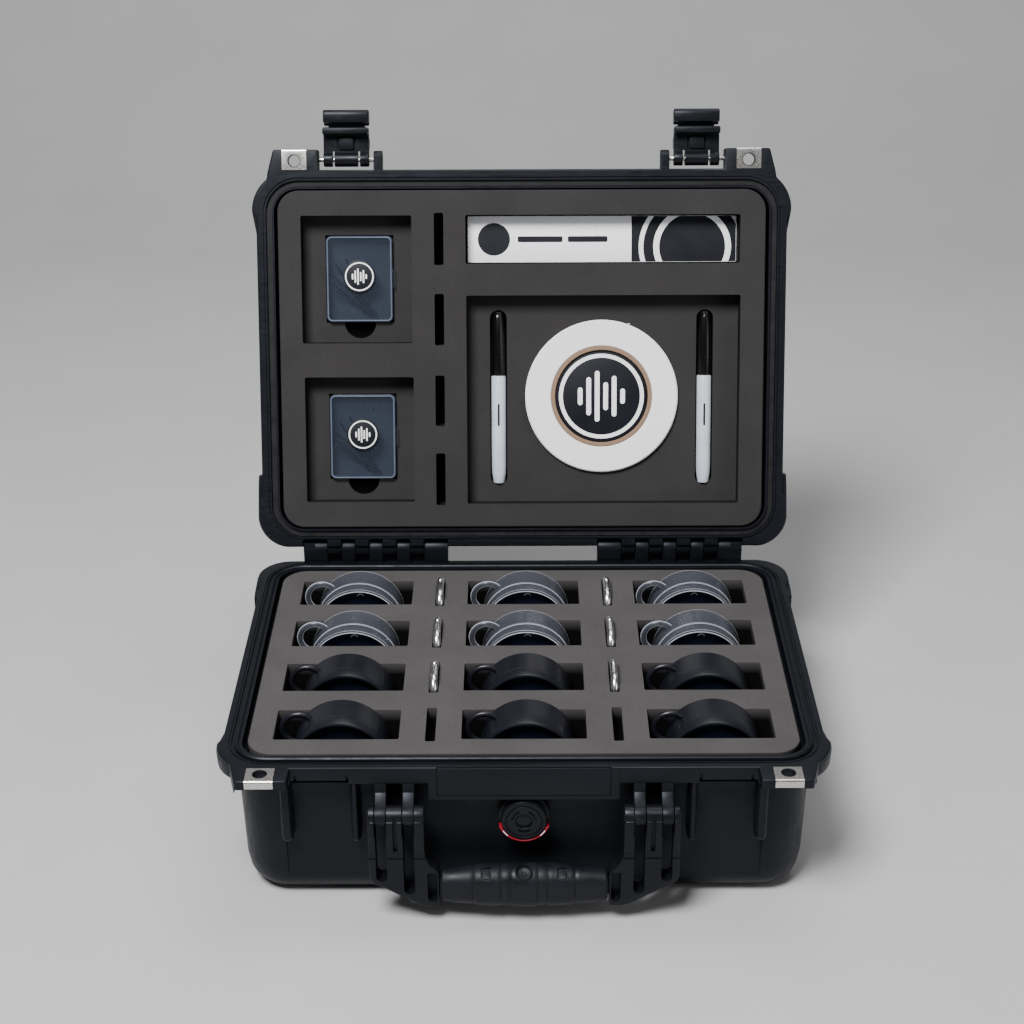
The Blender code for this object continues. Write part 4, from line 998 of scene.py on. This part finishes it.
def clip(node, x, y):
    """An oval snap ring of stout drawn wire, slimmer along its sprung gate, with the gate's nub."""
    body = NODE_BODY[node]
    half_y, half_z = 16.2, 9.4
    ends = (arc(y + half_y - half_z, CLIP_Z, half_z, -90, 90, 24)
            + arc(y - half_y + half_z, CLIP_Z, half_z, 90, 270, 24))
    path = lift(ends, x, "X")
    radii = [3.1 - 0.5 * (0.5 + 0.5 * math.cos(math.atan2(p.z - CLIP_Z, p.y - y) - math.pi / 2))
             for p in path]
    piece(f"{node}_wire", tube(path, radii, 32, Vector((1, 0, 0))), CHROME, body, [node])
    nub = turned([(CLIP_Z + half_z + 1.6, 1.3), (CLIP_Z + half_z + 3.0, 1.3), (CLIP_Z + half_z + 3.6, 0.8),
                  (CLIP_Z + half_z + 3.8, 0.2)], "Z", x, y + 5.5, 20)
    piece(f"{node}_nub", nub, CHROME, body)


def base_contents():
    for row, y in enumerate(POD_ROWS, 1):
        for column, x in enumerate(POD_COLUMNS, 1):
            clear = row <= 2
            kind = "clear" if clear else "black"
            pod(f"{kind}_pod_{row}_{column}", x + POD_SHIFT, y, clear)
    for side, x in zip(("left", "right"), CLIP_COLUMNS):
        for row, y in enumerate(POD_ROWS[:3], 1):
            clip(f"snap_clip_{side}_{row}", x, y)


# ---------------------------------------------------------------- lid foam and its contents

LID_FOAM_RIM, LID_TRAY_Z, LID_FOAM_BACK = 121.5, 137.3, 163.9
LEFT_WINDOWS = ((-166.0, -82.8, -109.0, -13.2), (-165.0, -82.3, 12.4, 108.3))
CARD_WINDOW, TAPE_WINDOW = (-42.3, 164.2, -109.1, -72.7), (-42.0, 165.0, -49.0, 110.0)
LID_SLOTS_X, LID_SLOT_ROOF = (-65.9, -58.8), 144.0
LID_SLOTS_Y = ((-110.8, -71.9), (-50.3, -11.4), (11.3, 50.0), (70.8, 111.1))
PARTS_BOXES, BOX_HALF = {"upper": (-123.2, -61.2), "lower": (-122.4, 59.3)}, (25.3, 32.6)
BOX_FACE, BOX_SPLIT, BOX_BACK = 133.3, 138.3, 149.0
TAPE, TAPE_R, TAPE_CORE_R, TAPE_Z = (60.8, 28.7), 58.4, (35.5, 38.6), (133.3, 158.3)
MARKERS_X, MARKER_Y, CAP_END_Y = {"left": -18.0, "right": 139.6}, (-36.3, 96.0), 12.6
MARKER_Z, MARKER_R = 138.7, 5.9
CARD, CARD_Z = (-41.0, 162.6, -108.2, -73.3), (135.0, 136.9)


def window(x0, x1, y0, y1, z0, z1):
    return prism(rounded_rect((x1 - x0) / 2, (y1 - y0) / 2, 1.4, 3, (x0 + x1) / 2, (y0 + y1) / 2), z0, z1)


def lid_foam():
    z0, z1 = LID_FOAM_RIM, LID_TRAY_Z - 0.1
    rings = ((z0, 182.4, 126.9, 15.5), (z0 + 0.6, 183.1, 127.6, 16), (z1, 183.1, 127.6, 16))
    block = loft([lift(rounded_rect(hx, hy, r, 10), z) for z, hx, hy, r in rings])
    slots = [window(*LID_SLOTS_X, a, b, z0 - 5, LID_SLOT_ROOF) for a, b in LID_SLOTS_Y]
    windows = [window(*w, z0 - 5, z1 + 5) for w in (*LEFT_WINDOWS, CARD_WINDOW, TAPE_WINDOW)]
    lid_piece("lid_foam_front", combined([block], slots + windows), LID_FOAM, "lid",
              ["lid_foam_frame"])

    rings = ((LID_TRAY_Z + 0.2, 183.0, 127.3, 16), (LID_FOAM_BACK, 182.2, 125.9, 16))
    tray = loft([lift(rounded_rect(hx, hy, r, 10), z) for z, hx, hy, r in rings])
    front = LID_TRAY_Z - 5
    cuts = [window(*LID_SLOTS_X, a, b, z0 - 5, LID_SLOT_ROOF) for a, b in LID_SLOTS_Y]
    hx, hy = BOX_HALF[0] + 0.5, BOX_HALF[1] + 0.5
    for x, y in PARTS_BOXES.values():
        cuts += [box(x - hx, x + hx, y - hy, y + hy, front, BOX_BACK + GAP),
                 rod("Z", x, y + hy, 12.0, front, BOX_BACK - 4, 40)]
    cuts.append(rod("Z", *TAPE, TAPE_R + 0.5, front, TAPE_Z[1] + GAP, 96))
    for x in MARKERS_X.values():
        half = MARKER_R + 0.5
        outline = rounded_rect(half, (MARKER_Y[1] - MARKER_Y[0]) / 2 + 1, half - 0.1, 10, x,
                               sum(MARKER_Y) / 2)
        cuts.append(prism(outline, front, MARKER_Z + MARKER_R + GAP))
    lid_piece("lid_foam_back", combined([tray], cuts), TRAY_FOAM, "lid", ["lid_foam_tray"])


def parts_box(level, x, y):
    node, lid_node = f"parts_box_{level}", f"parts_box_lid_{level}"
    body, lid_body = NODE_BODY[node], NODE_BODY[lid_node]
    hx, hy = BOX_HALF
    outer = rounded_rect(hx, hy, 4.2, 10, x, y)
    inner = rounded_rect(hx - 1.4, hy - 1.4, 2.8, 10, x, y)
    tub = combined([prism(outer, BOX_SPLIT + GAP, BOX_BACK, edge=0.8)],
                   [prism(inner, BOX_SPLIT - 3, BOX_BACK - 1.6)])
    lid_piece(f"{node}_tub", tub, TUB, body, [node])
    cover = combined([prism(outer, BOX_FACE, BOX_SPLIT, edge=0.9)],
                     [prism(inner, BOX_FACE + 1.3, BOX_SPLIT + 3)])
    lid_piece(f"{node}_cover", cover, FROSTED, lid_body, [lid_node])
    rim = loft([lift(rounded_rect(hx - a, hy - a, 4.2 - 0.8 * a, 10, x, y), z) for z, a in
                ((BOX_FACE + 0.2, 0.5), (BOX_FACE - 0.5, 0.9), (BOX_FACE - 0.5, 1.5),
                 (BOX_FACE + 0.2, 1.9))], True)
    lid_piece(f"{node}_rim", rim, BOX_EDGE, lid_body)
    catch = prism(rounded_rect(1.2, 7.0, 0.8, 4, x + hx + 0.6, y), BOX_FACE + 0.8, BOX_SPLIT + 3.0, edge=0.4)
    lid_piece(f"{node}_catch", catch, FROSTED, lid_body)
    foot = Vector((x + 13.0, y + 27.0, 0.0))
    for k in range(10):
        lean = math.radians(-62 + 6.2 * k + 3 * math.sin(2.1 * k))
        reach = 38.0 + 9.0 * math.sin(1.3 * k + 0.4)
        start = foot + Vector((-1.9 * (k % 3) - 0.8 * k, -2.0 * (k % 2), BOX_SPLIT + 1.6 + 0.75 * k))
        tip = start + Vector((math.sin(lean), -math.cos(lean), 0.0)) * reach
        tip.x, tip.y = max(x - hx + 3.5, tip.x), max(y - hy + 3.5, tip.y)
        stick = tube([start, tip], 0.8, 12, Vector((0, 0, 1)), closed=False)
        lid_piece(f"{node}_rod_{k + 1}", stick, BOX_ROD, body)
    face = BOX_FACE - 0.55
    label = rod("Z", x, y - 2.0, 12.3, face - 0.15, face + 0.5, 48, edge=0.05)
    lid_piece(f"{node}_label", label, NAVY, lid_body)
    ring = washer(face - 0.25, face + 0.2, 9.9, 10.9, "Z", x, y - 2.0)
    lid_piece(f"{node}_label_ring", ring, WHITE_PRINT, lid_body)
    level_bars(f"{node}_label_bar", x, y - 2.0, 6.2, face - 0.25, face + 0.2, lid_body)


def level_bars(name, x, y, reach, z0, z1, body):
    """A row of plain upright bars of different lengths."""
    heights = (0.35, 0.75, 1.0, 0.55, 0.8, 0.3)
    pitch = 2 * reach / len(heights)
    for k, height in enumerate(heights):
        cx = x - reach + pitch * (k + 0.5)
        bar = prism(rounded_rect(pitch * 0.28, reach * height, pitch * 0.27, 4, cx, y), z0, z1)
        lid_piece(f"{name}_{k + 1}", bar, WHITE_PRINT, body)


def tape():
    x, y = TAPE
    low, high = TAPE_Z
    inner, outer = TAPE_CORE_R
    roll = ((low + 0.8, outer + 0.1), (low, outer + 0.7), (low, TAPE_R - 1.0), (low + 1.0, TAPE_R),
            (high - 1, TAPE_R),
            (high, TAPE_R - 1), (high, outer + 0.1))
    lid_piece("tape_winding", turned_ring(roll, "Z", x, y, 128), TAPE_WHITE, "tape",
              ["tape_roll"])
    core = ((low + 0.4, inner), (low, inner + 0.4), (low, outer - 0.5), (low + 0.5, outer), (high, outer),
            (high, inner))
    lid_piece("tape_core_tube", turned_ring(core, "Z", x, y, 128), CARDBOARD, "tape",
              ["tape_core"])
    face = low + 2.2
    disc = rod("Z", x, y, inner - 0.3, face, high, 96, edge=0.3)
    lid_piece("core_label", disc, NAVY, "tape", ["core_disc"])
    ring = washer(face - 0.12, face + 0.3, 29.6, 32.6, "Z", x, y, 96)
    lid_piece("core_label_ring", ring, WHITE_PRINT, "tape")
    level_bars("core_label_bar", x, y, 19.5, face - 0.12, face + 0.3, "tape")
    tail_end = box(x + 20, x + 21.2, y - 55.6, y - 54.9, low + 0.2, high - 0.2)
    lid_piece("tape_loose_end", tail_end, TAPE_WHITE, "tape")


def marker(side, x):
    start, end = MARKER_Y
    body = NODE_BODY[f"marker_barrel_{side}"]
    barrel = ((CAP_END_Y, 4.8), (CAP_END_Y + 0.3, 5.2), (CAP_END_Y + 1.0, 5.5), (end - 14.0, 5.5),
              (end - 8.0, 5.3),
              (end - 1.5, 4.4), (end - 0.4, 4.0), (end, 3.2))
    lid_piece(f"marker_body_{side}", turned(barrel, "Y", x, MARKER_Z, 40), BARREL, body,
          [f"marker_barrel_{side}"])
    cap = ((start, 3.0), (start + 0.5, 3.6), (start + 8.0, 4.7), (start + 20.0, 5.5),
           (CAP_END_Y - 1.2, MARKER_R),
           (CAP_END_Y - 0.3, MARKER_R - 0.3))
    lid_piece(f"marker_lid_{side}", turned(cap, "Y", x, MARKER_Z, 40), CAP, body,
          [f"marker_cap_{side}"])
    face = MARKER_Z - MARKER_R
    clip_bar = prism(soften([(start + 2.5, face + 2.6), (start + 2.5, face - 0.1), (start + 5.0, face - 0.7),
                             (start + 35.0, face - 0.3), (start + 36.5, face + 0.4),
                             (start + 34.0, face + 0.6),
                             (start + 8.0, face + 0.7), (start + 7.0, face + 2.6)], 0.4, 2), x - 1.5,
                             x + 1.5, "X", edge=0.3)
    lid_piece(f"marker_clip_{side}", clip_bar, CAP, body)
    print_low = CAP_END_Y + 22.0
    stripe = prism(rounded_rect(0.7, 8.5, 0.6, 4, x, print_low + 8), MARKER_Z - 5.62, MARKER_Z - 5.0)
    lid_piece(f"marker_stripe_{side}", stripe, NAVY, body)


def printed_card():
    x0, x1, y0, y1 = CARD
    low, high = CARD_Z
    middle_y, half_y = (y0 + y1) / 2, (y1 - y0) / 2
    sheet = prism(rounded_rect((x1 - x0) / 2, half_y, 0.8, 4, (x0 + x1) / 2, middle_y), low, high, edge=0.3)
    lid_piece("card_sheet", sheet, CARD_WHITE, "card", ["printed_card"])
    face = low - 0.1
    panel_x = x0 + 0.61 * (x1 - x0)
    centre = (panel_x + 46.0, middle_y + 6.0)
    panel = combined([prism(rectangle(panel_x, x1 - 0.4, y0 + 0.4, y1 - 0.4), face, low + 0.2)])
    lid_piece("card_panel", panel, NAVY, "card")
    for k, (inner, outer) in enumerate(((25.0, 29.5), (37.0, 40.5))):
        band = washer(face - 0.1, face + 0.1, inner, outer, "Z", *centre, 96)
        trim = box(x1 - 0.5, x1 + 80, y0 - 80, y1 + 80, 100, 160)
        side_trims = [box(x0 - 80, x1 + 80, y1 - 0.5, y1 + 80, 100, 160),
                      box(x0 - 80, x1 + 80, y0 - 80, y0 + 0.5, 100, 160),
                      box(x0 - 80, panel_x + 0.5, y0 - 80, y1 + 80, 100, 160), trim]
        lid_piece(f"card_arc_{k + 1}", combined([band], side_trims), WHITE_PRINT, "card")
    spot = rod("Z", x0 + 20.0, middle_y, 12.2, face, low + 0.2, 48)
    lid_piece("card_spot", spot, NAVY, "card")
    for k, (start, length) in enumerate(((38.0, 34.0), (76.0, 30.0))):
        line = prism(rounded_rect(length / 2, 2.2, 1.0, 3, x0 + start + length / 2, middle_y), face,
                     low + 0.2)
        lid_piece(f"card_line_{k + 1}", line, NAVY, "card")


# ---------------------------------------------------------------- stage

def area_light(name, location, target, size, power):
    data = bpy.data.lights.new(name, "AREA")
    data.shape = "RECTANGLE"
    data.size, data.size_y = size
    data.energy = power
    obj = bpy.data.objects.new(name, data)
    bpy.context.scene.collection.objects.link(obj)
    obj.location = location
    obj.rotation_euler = (Vector(target) - Vector(location)).to_track_quat("-Z", "Y").to_euler()
    return obj


def camera():
    data = bpy.data.cameras.new("camera")
    data.lens, data.sensor_width, data.shift_x = 68.55, 36.0, -0.00265
    data.clip_end = 50.0
    obj = bpy.data.objects.new("camera", data)
    bpy.context.scene.collection.objects.link(obj)
    turn = (Matrix.Rotation(math.radians(0.164), 4, "Z") @ Matrix.Rotation(math.radians(63.45), 4, "X")
            @ Matrix.Rotation(math.radians(-0.267), 4, "Z"))
    obj.matrix_world = Matrix.Translation((-0.00215, -1.193532, 0.830017 - BASE_Z * MM)) @ turn
    bpy.context.scene.camera = obj
    return obj


def floor():
    """A pale sweep: flat under the case, curving up far behind it."""
    bm = bmesh.new()
    profile = [(-3.0, 0.0), (1.2, 0.0)] + [(1.2 + 0.9 * math.sin(math.radians(a)),
                                            0.9 - 0.9 * math.cos(math.radians(a)))
                                           for a in range(10, 91, 10)] + [(2.1, 4.0)]
    rows = [[bm.verts.new((x, y, z - 0.0002)) for x in (-4.0, 4.0)] for y, z in profile]
    for low, high in zip(rows, rows[1:]):
        bm.faces.new((low[0], low[1], high[1], high[0]))
    mesh = bpy.data.meshes.new("floor")
    bm.to_mesh(mesh)
    bm.free()
    mesh.shade_smooth()
    material, tree, shader = new_material("floor_pale", (0.40, 0.40, 0.405), 0.65)
    grain = noise(tree, 8, 4)
    speckled = ramp(tree, grain, ((0.3, (0.39, 0.39, 0.395)), (0.7, (0.41, 0.41, 0.415))))
    drive(tree, shader, Base_Color=speckled)
    mesh.materials.append(material)
    obj = bpy.data.objects.new("floor", mesh)
    bpy.context.scene.collection.objects.link(obj)
    return obj


def stage():
    world = bpy.data.worlds.new("studio")
    world.use_nodes = True
    background = world.node_tree.nodes["Background"]
    background.inputs["Color"].default_value = (0.80, 0.82, 0.86, 1.0)
    background.inputs["Strength"].default_value = 0.10
    bpy.context.scene.world = world
    key = area_light("key", (-0.55, -1.05, 2.0), (0, 0, 0.15), (0.75, 0.75), 102)
    fill = area_light("fill", (1.7, -1.2, 0.8), (0, 0, 0.2), (1.0, 1.4), 10)
    top = area_light("top", (0.3, 0.5, 2.1), (0, 0, 0.1), (1.6, 0.8), 20)
    floor()
    camera()


base_shell()
lid_shell()
corner_guards()
hinge_pins()
padlock_plates()
for latch_sign, latch_side in ((-1, "left"), (1, "right")):
    latch(latch_side, latch_sign)
handle_frame()
handle_grip()
name_plate()
valve()
base_foam()
base_contents()
lid_foam()
for box_level, box_place in PARTS_BOXES.items():
    parts_box(box_level, *box_place)
tape()
for marker_side, marker_x in MARKERS_X.items():
    marker(marker_side, marker_x)
printed_card()
stage()
